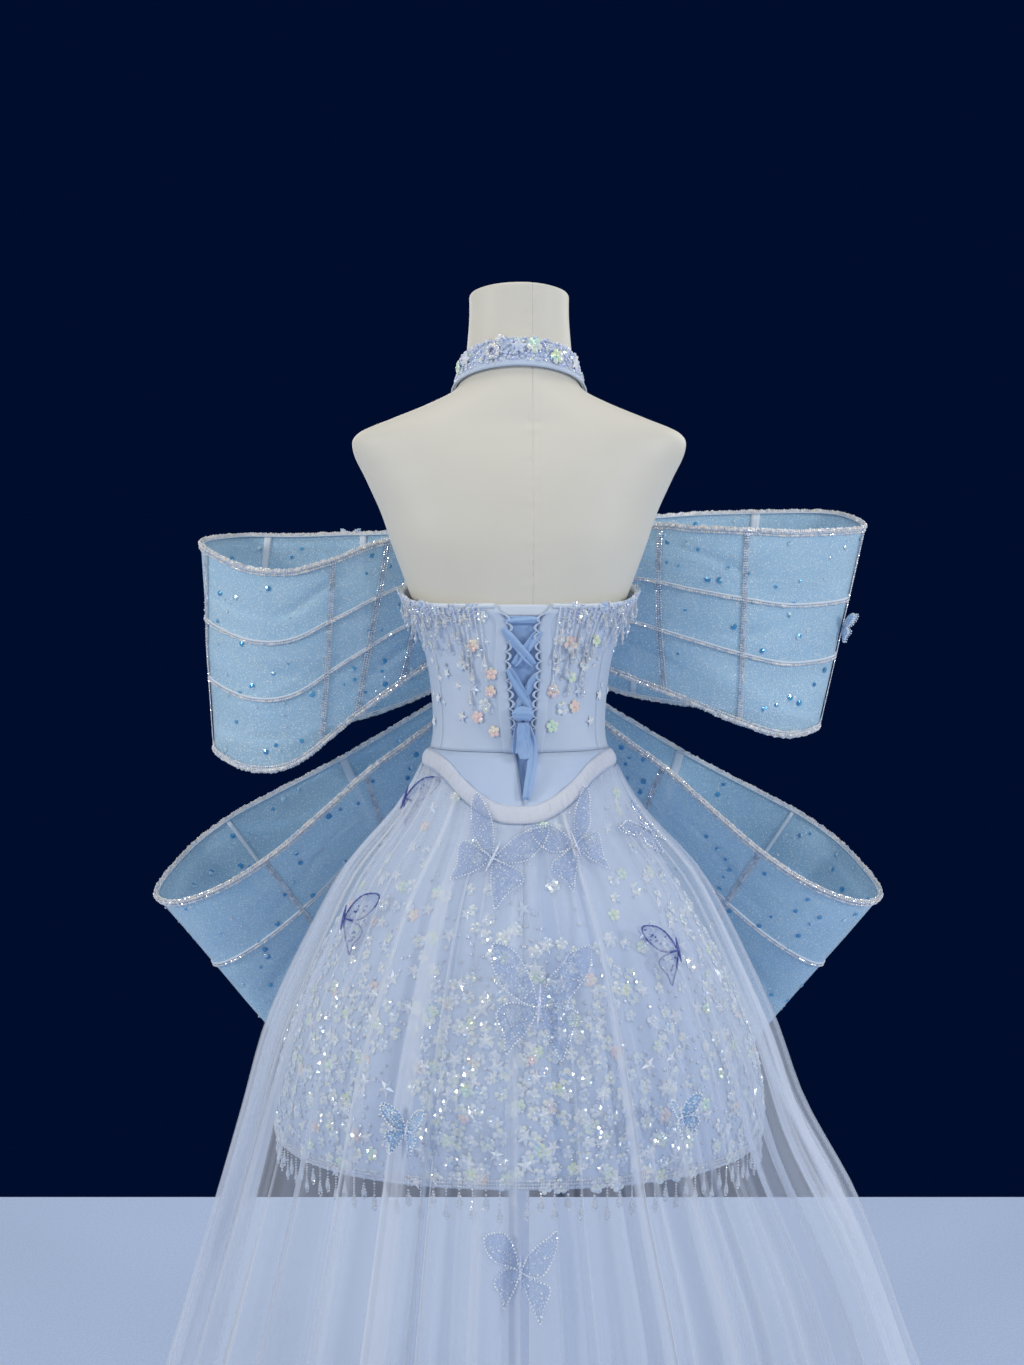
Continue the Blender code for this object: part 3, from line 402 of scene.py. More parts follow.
@dataclass(frozen=True)
class ClothFinish(Finish):
    """Woven cloth: threads both ways along its own sizes, patches of shade, and glitter if it has some."""

    threads: float = 1300.0
    depth: float = 0.3
    sheen: float = 0.2
    patches: float = 14.0
    glitter: float = 0.0
    glitter_scale: float = 1000.0
    glitter_colour: Colour = (0.95, 0.97, 1.0)
    alpha: float = 1.0
    gathered: bool = False

    def paint(self, maker: NodeMaker, shader: bpy.types.Node) -> None:
        """Add the nodes that make the finish."""
        shader.inputs["Sheen Weight"].default_value = self.sheen
        uv = maker.node("ShaderNodeUVMap", {"uv_map": "cloth"}).outputs[0]
        parts = maker.node("ShaderNodeSeparateXYZ", None, {0: uv})
        across, down = maker.number(parts, 0), maker.number(parts, 1)
        turn = math.tau * self.threads
        weave = (across * turn).sine() * (down * turn).sine()
        colour = self.mottled(maker, self.patches)
        rough = weave * 0.04 + self.roughness
        height = weave
        cover = self._cover(maker)
        if self.glitter:
            spark = maker.cells(self.glitter_scale)[0].above(1 - self.glitter)
            colour = maker.blend(spark, colour, self.glitter_colour)
            rough = rough - spark * (self.roughness * 0.6)
            height = height + spark * 2.0
            cover = cover + spark * 0.3
        self.link(maker, colour, shader, "Base Color")
        self.link(maker, rough, shader, "Roughness")
        self.link(maker, maker.bump(self.depth, FINE_BUMP, height), shader, "Normal")
        if self.gathered or self.alpha < 1.0:
            self.link(maker, cover.within(0.0, 1.0), shader, "Alpha")

    def _cover(self, maker: NodeMaker) -> Number:
        """How much of what lies behind is covered: the cloth's own mark where it is gathered."""
        if self.gathered:
            return maker.number(maker.node("ShaderNodeAttribute", {"attribute_name": "cover"}), "Fac")
        return (maker.noise(24.0, 2.0) - 0.5) * 0.2 + self.alpha


@dataclass(frozen=True)
class GemFinish(Finish):
    """Beads and stones: small patches of colour that change from bead to bead."""

    tint: Colour = (0.75, 0.85, 1.0)
    cell: float = 260.0
    metallic: float = 0.2
    alpha: float = 1.0

    def paint(self, maker: NodeMaker, shader: bpy.types.Node) -> None:
        """Add the nodes that make the finish."""
        first, second = maker.cells(self.cell)
        base = maker.blend(first, self.colour, self.shade)
        colour = maker.blend(second.above(0.72), base, self.tint)
        self.link(maker, colour, shader, "Base Color")
        self.link(maker, first * 0.12 + self.roughness, shader, "Roughness")
        self.link(maker, second * 0.2 + (self.metallic - 0.1), shader, "Metallic")
        shader.inputs["Coat Weight"].default_value = 0.4
        if self.alpha < 1.0:
            self.link(maker, first * 0.2 + (self.alpha - 0.1), shader, "Alpha")


@dataclass(frozen=True)
class FormFinish(Finish):
    """The form's smooth cream cover: a faint knit, soft blotches and a slight gloss."""

    def paint(self, maker: NodeMaker, shader: bpy.types.Node) -> None:
        """Add the nodes that make the finish."""
        self.link(maker, self.mottled(maker, 7.0), shader, "Base Color")
        grain, cloud = maker.noise(420.0, 2.0), maker.noise(30.0, 4.0)
        self.link(maker, cloud * 0.18 + (self.roughness - 0.09), shader, "Roughness")
        self.link(maker, maker.bump(0.25, 2 * FINE_BUMP, grain * 0.4 + cloud), shader, "Normal")
        shader.inputs["Sheen Weight"].default_value = 0.15


@dataclass(frozen=True)
class MetalFinish(Finish):
    """Pale enamelled metal with fine upright brush lines."""

    def paint(self, maker: NodeMaker, shader: bpy.types.Node) -> None:
        """Add the nodes that make the finish."""
        self.link(maker, self.mottled(maker, 25.0), shader, "Base Color")
        shader.inputs["Metallic"].default_value = 1.0
        long = maker.node("ShaderNodeMapping", None, {0: maker.place(), "Scale": (900.0, 900.0, 30.0)})
        lines = maker.noise(1.0, 2.0, long.outputs[0])
        self.link(maker, lines * 0.25 + (self.roughness - 0.12), shader, "Roughness")
        self.link(maker, maker.bump(0.1, FINE_BUMP, lines), shader, "Normal")


@dataclass(frozen=True)
class FloorFinish(Finish):
    """A plain pale floor with a fine speckle."""

    def paint(self, maker: NodeMaker, shader: bpy.types.Node) -> None:
        """Add the nodes that make the finish."""
        share = (maker.noise(260.0, 2.0) * 3.0 - 1.0).within(0.0, 1.0)
        self.link(maker, maker.blend(share, self.colour, self.shade), shader, "Base Color")


class Look(Enum):
    """Every finish on the dress and its form."""

    FORM = FormFinish("form_cover", (0.77, 0.745, 0.67), (0.72, 0.69, 0.61), 0.50)
    STEEL = MetalFinish("stand_enamel", (0.66, 0.72, 0.84), (0.60, 0.67, 0.80), 0.45)
    SATIN = ClothFinish("pale_satin", (0.63, 0.73, 0.89), (0.52, 0.64, 0.84), 0.34, sheen=0.3, patches=9.0)
    BLUE_SATIN = ClothFinish("blue_satin", (0.36, 0.54, 0.85), (0.28, 0.46, 0.78), 0.30, sheen=0.35)
    WHITE_SATIN = ClothFinish("white_satin", (0.80, 0.87, 0.96), (0.70, 0.80, 0.93), 0.38, sheen=0.3)
    SKIRT_SATIN = ClothFinish("skirt_satin", (0.58, 0.70, 0.90), (0.50, 0.63, 0.87), 0.45, sheen=0.3)
    TULLE = ClothFinish("lilac_tulle", (0.84, 0.90, 1.0), (0.75, 0.83, 0.99), 0.85, sheen=0.4, depth=0.1,
                        patches=5.0, gathered=True)
    BAND = ClothFinish("gathered_tulle", (0.86, 0.90, 0.99), (0.72, 0.79, 0.95), 0.75, sheen=0.4,
                       alpha=0.80)
    ORGANZA = ClothFinish("glitter_organza", (0.54, 0.81, 1.0), (0.46, 0.74, 1.0), 0.42, sheen=0.3,
                          glitter=0.12, glitter_scale=1150.0, glitter_colour=(0.80, 0.93, 1.0),
                          gathered=True)
    KNOT = ClothFinish("knot_organza", (0.44, 0.70, 0.97), (0.36, 0.62, 0.93), 0.42, sheen=0.2,
                       glitter=0.12)
    WING = ClothFinish("wing_organza", (0.30, 0.55, 0.92), (0.42, 0.66, 0.96), 0.38, sheen=0.3, glitter=0.2,
                       alpha=0.72)
    APPLIQUE = ClothFinish("wing_net", (0.46, 0.60, 0.88), (0.40, 0.54, 0.85), 0.60, sheen=0.2,
                           glitter=0.04, alpha=0.22)
    EDGE_THREAD = GemFinish("outline_thread", (0.05, 0.08, 0.33), (0.10, 0.13, 0.42), 0.45,
                            tint=(0.16, 0.20, 0.55), metallic=0.1)
    SILVER = GemFinish("silver_stone", (0.97, 0.97, 0.99), (0.40, 0.47, 0.60), 0.08, metallic=0.3)
    CREAM = GemFinish("cream_bead", (0.96, 0.96, 0.97), (0.56, 0.63, 0.76), 0.10, tint=(0.97, 0.93, 0.86),
                      cell=330.0, metallic=0.2)
    PEARL = GemFinish("pearl", (0.82, 0.88, 0.98), (0.58, 0.66, 0.88), 0.16, tint=(0.60, 0.66, 0.96),
                      metallic=0.12)
    CLEAR = GemFinish("clear_drop", (0.92, 0.96, 1.0), (0.74, 0.84, 0.97), 0.04, metallic=0.12, alpha=0.75)
    SHELL = GemFinish("shell_flower", (0.98, 0.99, 1.0), (0.48, 0.66, 0.90), 0.07, tint=(0.93, 0.98, 0.88),
                      cell=190.0, metallic=0.15)
    ROSE = GemFinish("rose_flower", (0.96, 0.78, 0.66), (0.94, 0.72, 0.76), 0.08, tint=(0.97, 0.90, 0.78),
                     cell=150.0, metallic=0.15)
    WHITE_STAR = GemFinish("white_star", (0.97, 0.98, 1.0), (0.84, 0.90, 0.97), 0.06, cell=90.0,
                           metallic=0.12)
    SUN = GemFinish("green_star", (0.88, 0.96, 0.60), (0.66, 0.92, 0.84), 0.08, tint=(0.95, 0.98, 0.92),
                    cell=150.0, metallic=0.15)
    AQUA = GemFinish("aqua_sequin", (0.06, 0.30, 0.62), (0.12, 0.46, 0.76), 0.14, tint=(0.62, 0.84, 0.98),
                     cell=120.0, metallic=0.35)

    def material(self) -> bpy.types.Material:
        """The look's material."""
        return self.value.material()


@dataclass(frozen=True)
class Crease:
    """A soft trough across cloth, or a ridge where its depth is below nothing, in the cloth's own sizes."""

    start: Point2
    end: Point2
    width: float
    depth: float

    def dip(self, at: Point2) -> float:
        """How deep the cloth dips at a place."""
        run = (self.end[0] - self.start[0], self.end[1] - self.start[1])
        long = run[0] ** 2 + run[1] ** 2
        off = (at[0] - self.start[0], at[1] - self.start[1])
        part = max(0.0, min(1.0, (off[0] * run[0] + off[1] * run[1]) / long))
        apart = math.hypot(off[0] - run[0] * part, off[1] - run[1] * part)
        fade = math.sin(math.pi * (0.12 + 0.76 * part))
        return self.depth * fade * math.exp(-(apart / self.width) ** 2)


def creased(*rows: tuple[float, ...]) -> tuple[Crease, ...]:
    """Creases from rows of start across, start down, end across, end down, width and depth."""
    return tuple(Crease(row[:2], row[2:4], *row[4:]) for row in rows)


def dips(creases: Iterable[Crease], at: Point2) -> float:
    """How deep cloth dips at a place, with all its creases."""
    return sum(crease.dip(at) for crease in creases)


def add_object(name: str, mesh: bpy.types.Mesh, look: Optional[Look] = None) -> bpy.types.Object:
    """Put a mesh in the scene as an object, with its finish."""
    if look:
        mesh.materials.append(look.material())
    made = bpy.data.objects.new(name, mesh)
    bpy.context.scene.collection.objects.link(made)
    return made


def join_part(made: bpy.types.Object, slot: str, replaces: tuple[str, ...] = ()) -> None:
    """Tie a piece to the body, and hide the solids that it stands for."""
    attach(made, BODY)
    if replaces:
        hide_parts(*replaces)


def skin(form: bmesh.types.BMesh, rings: list[list[bmesh.types.BMVert]]) -> None:
    """Join closed rings of corners, one after another, with four-sided faces."""
    for upper, lower in zip(rings, rings[1:]):
        for index, corner in enumerate(upper):
            after = (index + 1) % len(upper)
            form.faces.new((corner, upper[after], lower[after], lower[index]))


def fan(form: bmesh.types.BMesh, ring: list[bmesh.types.BMVert], middle: bmesh.types.BMVert) -> None:
    """Join a closed ring of corners to its middle."""
    for index, corner in enumerate(ring):
        form.faces.new((corner, ring[(index + 1) % len(ring)], middle))


def smooth_mesh(form: bmesh.types.BMesh, name: str) -> bpy.types.Mesh:
    """Turn a form's faces outward and make it a smooth mesh."""
    bmesh.ops.recalc_face_normals(form, faces=form.faces)
    mesh = bpy.data.meshes.new(name)
    form.to_mesh(mesh)
    form.free()
    mesh.shade_smooth()
    return mesh


def thicken(made: bpy.types.Object, thickness: float) -> None:
    """Give a sheet its wall, half to each side."""
    wall = made.modifiers.new("Thickness", "SOLIDIFY")
    wall.thickness = thickness
    wall.offset = 0.0


def stated_area(width: float, length: float, area: float) -> float:
    """A sheet's area, kept between the least and the whole of its flat sides."""
    return min(width * length, max(LEAST_FILL * width * length, area))


@dataclass
class Sheet:
    """A grid of points over a piece of cloth, which knows its own flat sizes."""

    across: list[float]
    down: list[float]
    place: Place
    cover: Optional[Callable[[float, float], float]] = None
    points: list[Vector] = field(init=False)

    def __post_init__(self) -> None:
        """Work out every point."""
        self.points = [self.place(side, fall) for fall in self.down for side in self.across]

    def _line(self, indices: list[int]) -> list[float]:
        """Lengths along a line of points, from its start."""
        total, made = 0.0, [0.0]
        for first, second in zip(indices, indices[1:]):
            total += (self.points[second] - self.points[first]).length
            made.append(total)
        return made

    def row(self, index: int) -> list[float]:
        """Lengths along one row."""
        wide = len(self.across)
        return self._line(list(range(index * wide, (index + 1) * wide)))

    def column(self, index: int) -> list[float]:
        """Lengths down one column."""
        return self._line(list(range(index, len(self.points), len(self.across))))

    def faces(self) -> list[tuple[int, ...]]:
        """The corners of every face."""
        wide, tall = len(self.across), len(self.down)
        return [(row * wide + column, row * wide + column + 1, (row + 1) * wide + column + 1,
                 (row + 1) * wide + column)
                for row in range(tall - 1) for column in range(wide - 1)]

    def flat(self) -> list[Point2]:
        """Every point's place in the flat cloth, in metres."""
        widest, tallest = self.row(len(self.down) // 2), self.column(len(self.across) // 2)
        return [(side, fall) for fall in tallest for side in widest]

    def area(self) -> float:
        """The cloth's own area."""
        total = 0.0
        for face in self.faces():
            one, two, three, four = (self.points[corner] for corner in face)
            total += (three - one).cross(four - two).length / 2
        return total

    def size(self) -> Point2:
        """The longest row and the longest column."""
        return (max(self.row(row)[-1] for row in range(len(self.down))),
                max(self.column(column)[-1] for column in range(len(self.across))))


def cloth_mesh(name: str, sheets: list[Sheet]) -> bpy.types.Mesh:
    """One mesh of all the sheets, with their flat sizes as its UV map and the cover of each point."""
    points, faces, places, covers = [], [], [], []
    for sheet in sheets:
        first = len(points)
        points += sheet.points
        faces += [tuple(first + corner for corner in face) for face in sheet.faces()]
        places += sheet.flat()
        if sheet.cover:
            covers += [sheet.cover(side, fall) for fall in sheet.down for side in sheet.across]
    mesh = bpy.data.meshes.new(name)
    mesh.from_pydata(points, [], faces)
    layer = mesh.uv_layers.new(name="cloth")
    layer.data.foreach_set("uv", [part for loop in mesh.loops for part in places[loop.vertex_index]])
    if covers:
        mesh.attributes.new("cover", "FLOAT", "POINT").data.foreach_set("value", covers)
    mesh.shade_smooth()
    return mesh


@dataclass(frozen=True)
class Cloth:
    """How a sheet becomes a piece: its finish, thickness, record slot and how it is held."""

    look: Look
    slot: str
    thickness: float
    held: str
    rests_on: tuple[str, ...]

    def piece(self, name: str, sheets: "Sheet | list[Sheet]",
              replaces: tuple[str, ...] = ()) -> bpy.types.Object:
        """Make the piece, hide the solids that it stands for and state its cut.

        Args:
            name: The piece's name.
            sheets: Its points, or those of all the strips of one ribbon.
            replaces: The solids that it stands for.

        Returns:
            The piece.
        """
        sheets = sheets if isinstance(sheets, list) else [sheets]
        made = add_object(name, cloth_mesh(name, sheets), self.look)
        thicken(made, self.thickness)
        join_part(made, self.slot, replaces)
        sizes = [sheet.size() for sheet in sheets]
        width, length = sizes[0]
        if len(sizes) > 1:
            width, length = max(min(size) for size in sizes), sum(max(size) for size in sizes)
        width, length = max(LEAST_SIDE, width), max(LEAST_SIDE, length)
        area = stated_area(width, length, sum(sheet.area() for sheet in sheets))
        list(self.rests_on)
        LOG.info("%s: cloth cut %.3f by %.3f m, %.4f m2", name, width, length, area)
        return made


# A petal's outline, from the flower's middle
PETAL = ((0.06, 0.0), (0.46, -0.40), (0.88, -0.34), (1.0, 0.0), (0.88, 0.34), (0.46, 0.40))


class Gem(Enum):
    """The small shapes that are sewn on by the hundred."""

    BALL = "ball"
    ROUND = "round"
    STONE = "stone"
    FLOWER = "flower"
    STAR = "star"
    SEQUIN = "sequin"
    DROP = "drop"

    def template(self) -> bpy.types.Object:
        """An object of this shape, about one unit in radius, facing up."""
        known = bpy.data.objects.get(f"template_{self.value}")
        if known:
            return known
        form = bmesh.new()
        if self in (Gem.BALL, Gem.ROUND):
            bmesh.ops.create_icosphere(form, subdivisions=1 if self is Gem.BALL else 2, radius=1.0)
        elif self is Gem.STONE:
            self._lathe(form, ((1.0, 0.0), (1.0, 0.25), (0.55, 0.75)), 7)
        elif self is Gem.DROP:
            self._lathe(form, ((0.12, 0.0), (0.30, -0.9), (0.75, -1.9), (0.95, -2.6), (0.60, -3.2)), 7)
        elif self is Gem.SEQUIN:
            rim = [(math.cos(angle), math.sin(angle)) for angle in steps(0, math.tau, 8)[:-1]]
            self._spiked(form, rim, 0.22)
        elif self is Gem.STAR:
            rim = [((1.0, 0.42)[index % 2] * math.sin(math.pi * index / 5),
                    (1.0, 0.42)[index % 2] * math.cos(math.pi * index / 5)) for index in range(10)]
            self._spiked(form, rim, 0.32)
        else:
            for petal in range(5):
                turned = Matrix.Rotation(math.tau * petal / 5, 2)
                rim = [turned @ Vector(point) for point in PETAL]
                self._spiked(form, [tuple(point) for point in rim], 0.16)
            bmesh.ops.create_icosphere(form, subdivisions=1, radius=0.24,
                                       matrix=Matrix.Translation((0, 0, 0.12)))
        mesh = bpy.data.meshes.new(self.value)
        form.to_mesh(mesh)
        form.free()
        if self in (Gem.ROUND, Gem.DROP):
            mesh.shade_smooth()
        return add_object(f"template_{self.value}", mesh)

    @staticmethod
    def _lathe(form: bmesh.types.BMesh, profile: tuple[Point2, ...], sides: int) -> None:
        """Turn a profile of (radius, height) points round the upright axis and close its ends."""
        rings = [[form.verts.new((radius * math.cos(angle), radius * math.sin(angle), height))
                  for angle in steps(0, math.tau, sides)[:-1]] for radius, height in profile]
        skin(form, rings)
        form.faces.new(rings[0])
        form.faces.new(rings[-1])
        bmesh.ops.recalc_face_normals(form, faces=form.faces)

    @staticmethod
    def _spiked(form: bmesh.types.BMesh, rim: list[Point2], rise: float) -> None:
        """A flat-edged lens over an outline, with a peak above and below its middle."""
        middle = Vector((sum(x for x, _ in rim), sum(y for _, y in rim), 0.0)) / len(rim)
        edge = [form.verts.new((x, y, 0.0)) for x, y in rim]
        top = form.verts.new(middle + UP * rise)
        bottom = form.verts.new(middle - UP * rise)
        faces = []
        for index, start in enumerate(edge):
            end = edge[(index + 1) % len(edge)]
            faces += [form.faces.new((start, end, top)), form.faces.new((end, start, bottom))]
        bmesh.ops.recalc_face_normals(form, faces=faces)


# Large shapes on the collar at the back: which, turn and share down
LARGE_ON_COLLAR = (
    (Gem.STAR, 0.5, 0.36), (Gem.FLOWER, -14.0, 0.28), (Gem.FLOWER, -36.0, 0.55), (Gem.STAR, 58.0, 0.40),
    (Gem.FLOWER, 75.0, 0.45), (Gem.STAR, -62.0, 0.50), (Gem.STAR, 140.0, 0.4), (Gem.FLOWER, 180.0, 0.4),
    (Gem.STAR, -140.0, 0.4), (Gem.FLOWER, -100.0, 0.5), (Gem.FLOWER, 105.0, 0.4))

# Large shapes on the bodice's back: look, turn, height and how much larger than usual
SEWN_ON_BODICE = (
    (Look.ROSE, 27, 1.172, 0.1), (Look.ROSE, 17, 1.140, 0.0), (Look.ROSE, 18, 1.120, -0.1),
    (Look.ROSE, 27, 1.090, 0.0), (Look.ROSE, 16, 1.074, -0.1), (Look.ROSE, -30, 1.174, 0.25),
    (Look.ROSE, -21, 1.120, 0.0), (Look.ROSE, -37, 1.102, 0.0), (Look.SUN, -48, 1.178, 0.1),
    (Look.SUN, -33, 1.136, -0.1), (Look.SUN, -21, 1.080, 0.0), (Look.SHELL, -28, 1.100, 0.1),
    (Look.SHELL, 36, 1.150, 0.0), (Look.SHELL, 22, 1.104, 0.0), (Look.SHELL, -42, 1.150, 0.0),
    (Look.WHITE_STAR, -23, 1.144, 0.0), (Look.WHITE_STAR, -40, 1.120, 0.1),
    (Look.WHITE_STAR, -61, 1.114, 0.0), (Look.WHITE_STAR, 63, 1.110, 0.0),
    (Look.WHITE_STAR, 39, 1.090, 0.0), (Look.WHITE_STAR, 73, 1.082, 0.0),
    (Look.WHITE_STAR, 29, 1.122, 0.0), (Look.WHITE_STAR, -52, 1.084, 0.0),
    (Look.WHITE_STAR, 50, 1.140, 0.0))


class Layout(Enum):
    """How small shapes are laid out on what carries them."""

    ROWS = "rows along the edges"
    SPOTS = "one at each point"
    SCATTER = "over the faces"


@dataclass(frozen=True)
class Trim:
    """Small shapes sewn to a piece: which, how large, how far apart, and in what layout."""

    gem: Gem
    look: Look
    layout: Layout
    smallest: float
    largest: float
    spacing: float = 0.003
    most: float = 4000.0
    spin: float = math.tau
    seed: int = 3

    def tree(self) -> bpy.types.NodeTree:
        """The Geometry Nodes tree for this layout, made once."""
        known = bpy.data.node_groups.get(f"trim_{self.layout.name}")
        if known:
            return known
        tree = bpy.data.node_groups.new(f"trim_{self.layout.name}", "GeometryNodeTree")
        face = tree.interface
        face.new_socket("Geometry", in_out="INPUT", socket_type="NodeSocketGeometry")
        for name, kind in (("Gem", "Object"), ("Finish", "Material"), ("Smallest", "Float"),
                           ("Largest", "Float"), ("Spacing", "Float"), ("Most", "Float"),
                           ("Spin", "Float"), ("Seed", "Int")):
            face.new_socket(name, in_out="INPUT", socket_type=f"NodeSocket{kind}")
        face.new_socket("Geometry", in_out="OUTPUT", socket_type="NodeSocketGeometry")
        maker = NodeMaker(tree)
        given = maker.node("NodeGroupInput").outputs
        points, facing = self._points(maker, given)
        aligned = maker.node("FunctionNodeAlignRotationToVector", {"axis": "Z"}, {"Vector": facing})
        angle = maker.node("FunctionNodeRandomValue", {"data_type": "FLOAT"},
                           {3: given["Spin"], "Seed": given["Seed"]})
        spun = maker.node("FunctionNodeAxisAngleToRotation", None,
                          {"Axis": (0, 0, 1), "Angle": angle.outputs[1]})
        turned = maker.node("FunctionNodeRotateRotation", {"rotation_space": "LOCAL"},
                            {"Rotation": aligned.outputs[0], "Rotate By": spun.outputs[0]})
        sized = maker.node("FunctionNodeRandomValue", {"data_type": "FLOAT"},
                           {2: given["Smallest"], 3: given["Largest"], "Seed": given["Seed"]})
        grown = maker.node("GeometryNodeInputNamedAttribute", {"data_type": "FLOAT"}, {"Name": "grown"})
        size = maker.number(sized, 1) * (maker.number(grown) + 1.0)
        gem = maker.node("GeometryNodeObjectInfo", None, {"Object": given["Gem"]})
        placed = maker.node("GeometryNodeInstanceOnPoints", None,
                            {"Points": points, "Instance": gem.outputs["Geometry"],
                             "Rotation": turned.outputs[0], "Scale": size})
        real = maker.node("GeometryNodeRealizeInstances", None, {0: placed.outputs[0]})
        finished = maker.node("GeometryNodeSetMaterial", None,
                              {0: real.outputs[0], "Material": given["Finish"]})
        maker.node("NodeGroupOutput", None, {0: finished.outputs[0]})
        return tree

    def _points(self, maker: NodeMaker, given: object) -> tuple[bpy.types.NodeSocket, bpy.types.NodeSocket]:
        """The points that carry the shapes, and the way that each one faces."""
        facing = maker.node("GeometryNodeInputNamedAttribute", {"data_type": "FLOAT_VECTOR"},
                            {"Name": "facing"})
        if self.layout is Layout.SCATTER:
            thickly = maker.node("GeometryNodeInputNamedAttribute", {"data_type": "FLOAT"},
                                 {"Name": "thickly"})
            spread = maker.node("GeometryNodeDistributePointsOnFaces", {"distribute_method": "POISSON"},
                                {"Mesh": given["Geometry"], "Distance Min": given["Spacing"],
                                 "Density Max": given["Most"], "Density Factor": thickly.outputs[0],
                                 "Seed": given["Seed"]})
            return spread.outputs["Points"], spread.outputs["Normal"]
        if self.layout is Layout.SPOTS:
            return given["Geometry"], facing.outputs[0]
        curve = maker.node("GeometryNodeMeshToCurve", None, {0: given["Geometry"]})
        even = maker.node("GeometryNodeResampleCurve", {"mode": "LENGTH"},
                          {"Curve": curve.outputs[0], "Length": given["Spacing"]})
        return even.outputs[0], facing.outputs[0]

    def sew(self, name: str, carrier: bpy.types.Mesh, slot: str = "bead_work",
            replaces: tuple[str, ...] = ()) -> bpy.types.Object:
        """Lay the shapes out and turn the result into a plain mesh.

        Args:
            name: The new piece's name.
            carrier: The mesh whose points, edges or faces carry the shapes.
            slot: The record's material slot; not used.
            replaces: The solids that the piece stands for.

        Returns:
            The piece.
        """
        holder = add_object(f"holder_{name}", carrier)
        tree = self.tree()
        values = {"Gem": self.gem.template(), "Finish": self.look.material(), "Smallest": self.smallest,
                  "Largest": self.largest, "Spacing": self.spacing, "Most": self.most, "Spin": self.spin,
                  "Seed": self.seed}
        nodes = holder.modifiers.new("Trim", "NODES")
        nodes.node_group = tree
        for item in tree.interface.items_tree:
            if item.in_out == "INPUT" and item.name in values:
                nodes[item.identifier] = values[item.name]
        bpy.context.view_layer.update()
        graph = bpy.context.evaluated_depsgraph_get()
        mesh = bpy.data.meshes.new_from_object(holder.evaluated_get(graph))
        mesh.name = name
        bpy.data.objects.remove(holder)
        made = add_object(name, mesh)
        join_part(made, slot, replaces)
        LOG.info("%s: %d faces of %s", name, len(mesh.polygons), self.gem.value)
        return made


def strew(gem: Gem, look: Look, smallest: float, largest: float, spacing: float, most: float,
          seed: int) -> Trim:
    """Small shapes scattered over the faces of what carries them."""
    return Trim(gem, look, Layout.SCATTER, smallest, largest, spacing, most, seed=seed)


@dataclass
class Threads:
    """Points and lines in space that carry beads, with the way that each point faces."""

    points: list[Vector] = field(default_factory=list)
    edges: list[tuple[int, int]] = field(default_factory=list)
    facing: list[Vector] = field(default_factory=list)
    grown: list[float] = field(default_factory=list)

    def line(self, points: list[Vector], facing: list[Vector]) -> None:
        """Add a line of points."""
        first = len(self.points)
        self.points += points
        self.facing += facing
        self.grown += [0.0] * len(points)
        self.edges += [(first + index, first + index + 1) for index in range(len(points) - 1)]

    def spot(self, point: Vector, facing: Vector, grown: float = 0.0) -> None:
        """Add one point by itself, with how much larger than usual its shape is."""
        self.points.append(point)
        self.facing.append(facing)
        self.grown.append(grown)

    def mesh(self, name: str) -> bpy.types.Mesh:
        """The points and lines as a mesh."""
        made = bpy.data.meshes.new(name)
        made.from_pydata(self.points, self.edges, [])
        facing = made.attributes.new("facing", "FLOAT_VECTOR", "POINT")
        facing.data.foreach_set("vector", [part for way in self.facing for part in way])
        made.attributes.new("grown", "FLOAT", "POINT").data.foreach_set("value", self.grown)
        return made


def teardrop(threads: Threads, top: Vector, facing: Vector, half: float, tall: float) -> None:
    """Add the outline of a drop that hangs from a point: narrow above and round below."""
    aside = Vector((facing.y, -facing.x, 0.0)).normalized()
    line = [top + aside * (half * math.sin(angle) * math.sin(angle / 2) ** 1.4)
            - Vector((0, 0, tall / 2 * (1 - math.cos(angle)))) for angle in steps(0, math.tau, 16)]
    threads.line(line, [facing] * len(line))


def patch(sheet: Sheet, name: str, thickly: Callable[[float, float], float]) -> bpy.types.Mesh:
    """A sheet's mesh with how thickly shapes are strewn over it, from its across and down values."""
    mesh = cloth_mesh(name, [sheet])
    values = [thickly(side, fall) for fall in sheet.down for side in sheet.across]
    mesh.attributes.new("thickly", "FLOAT", "POINT").data.foreach_set("value", values)
    return mesh


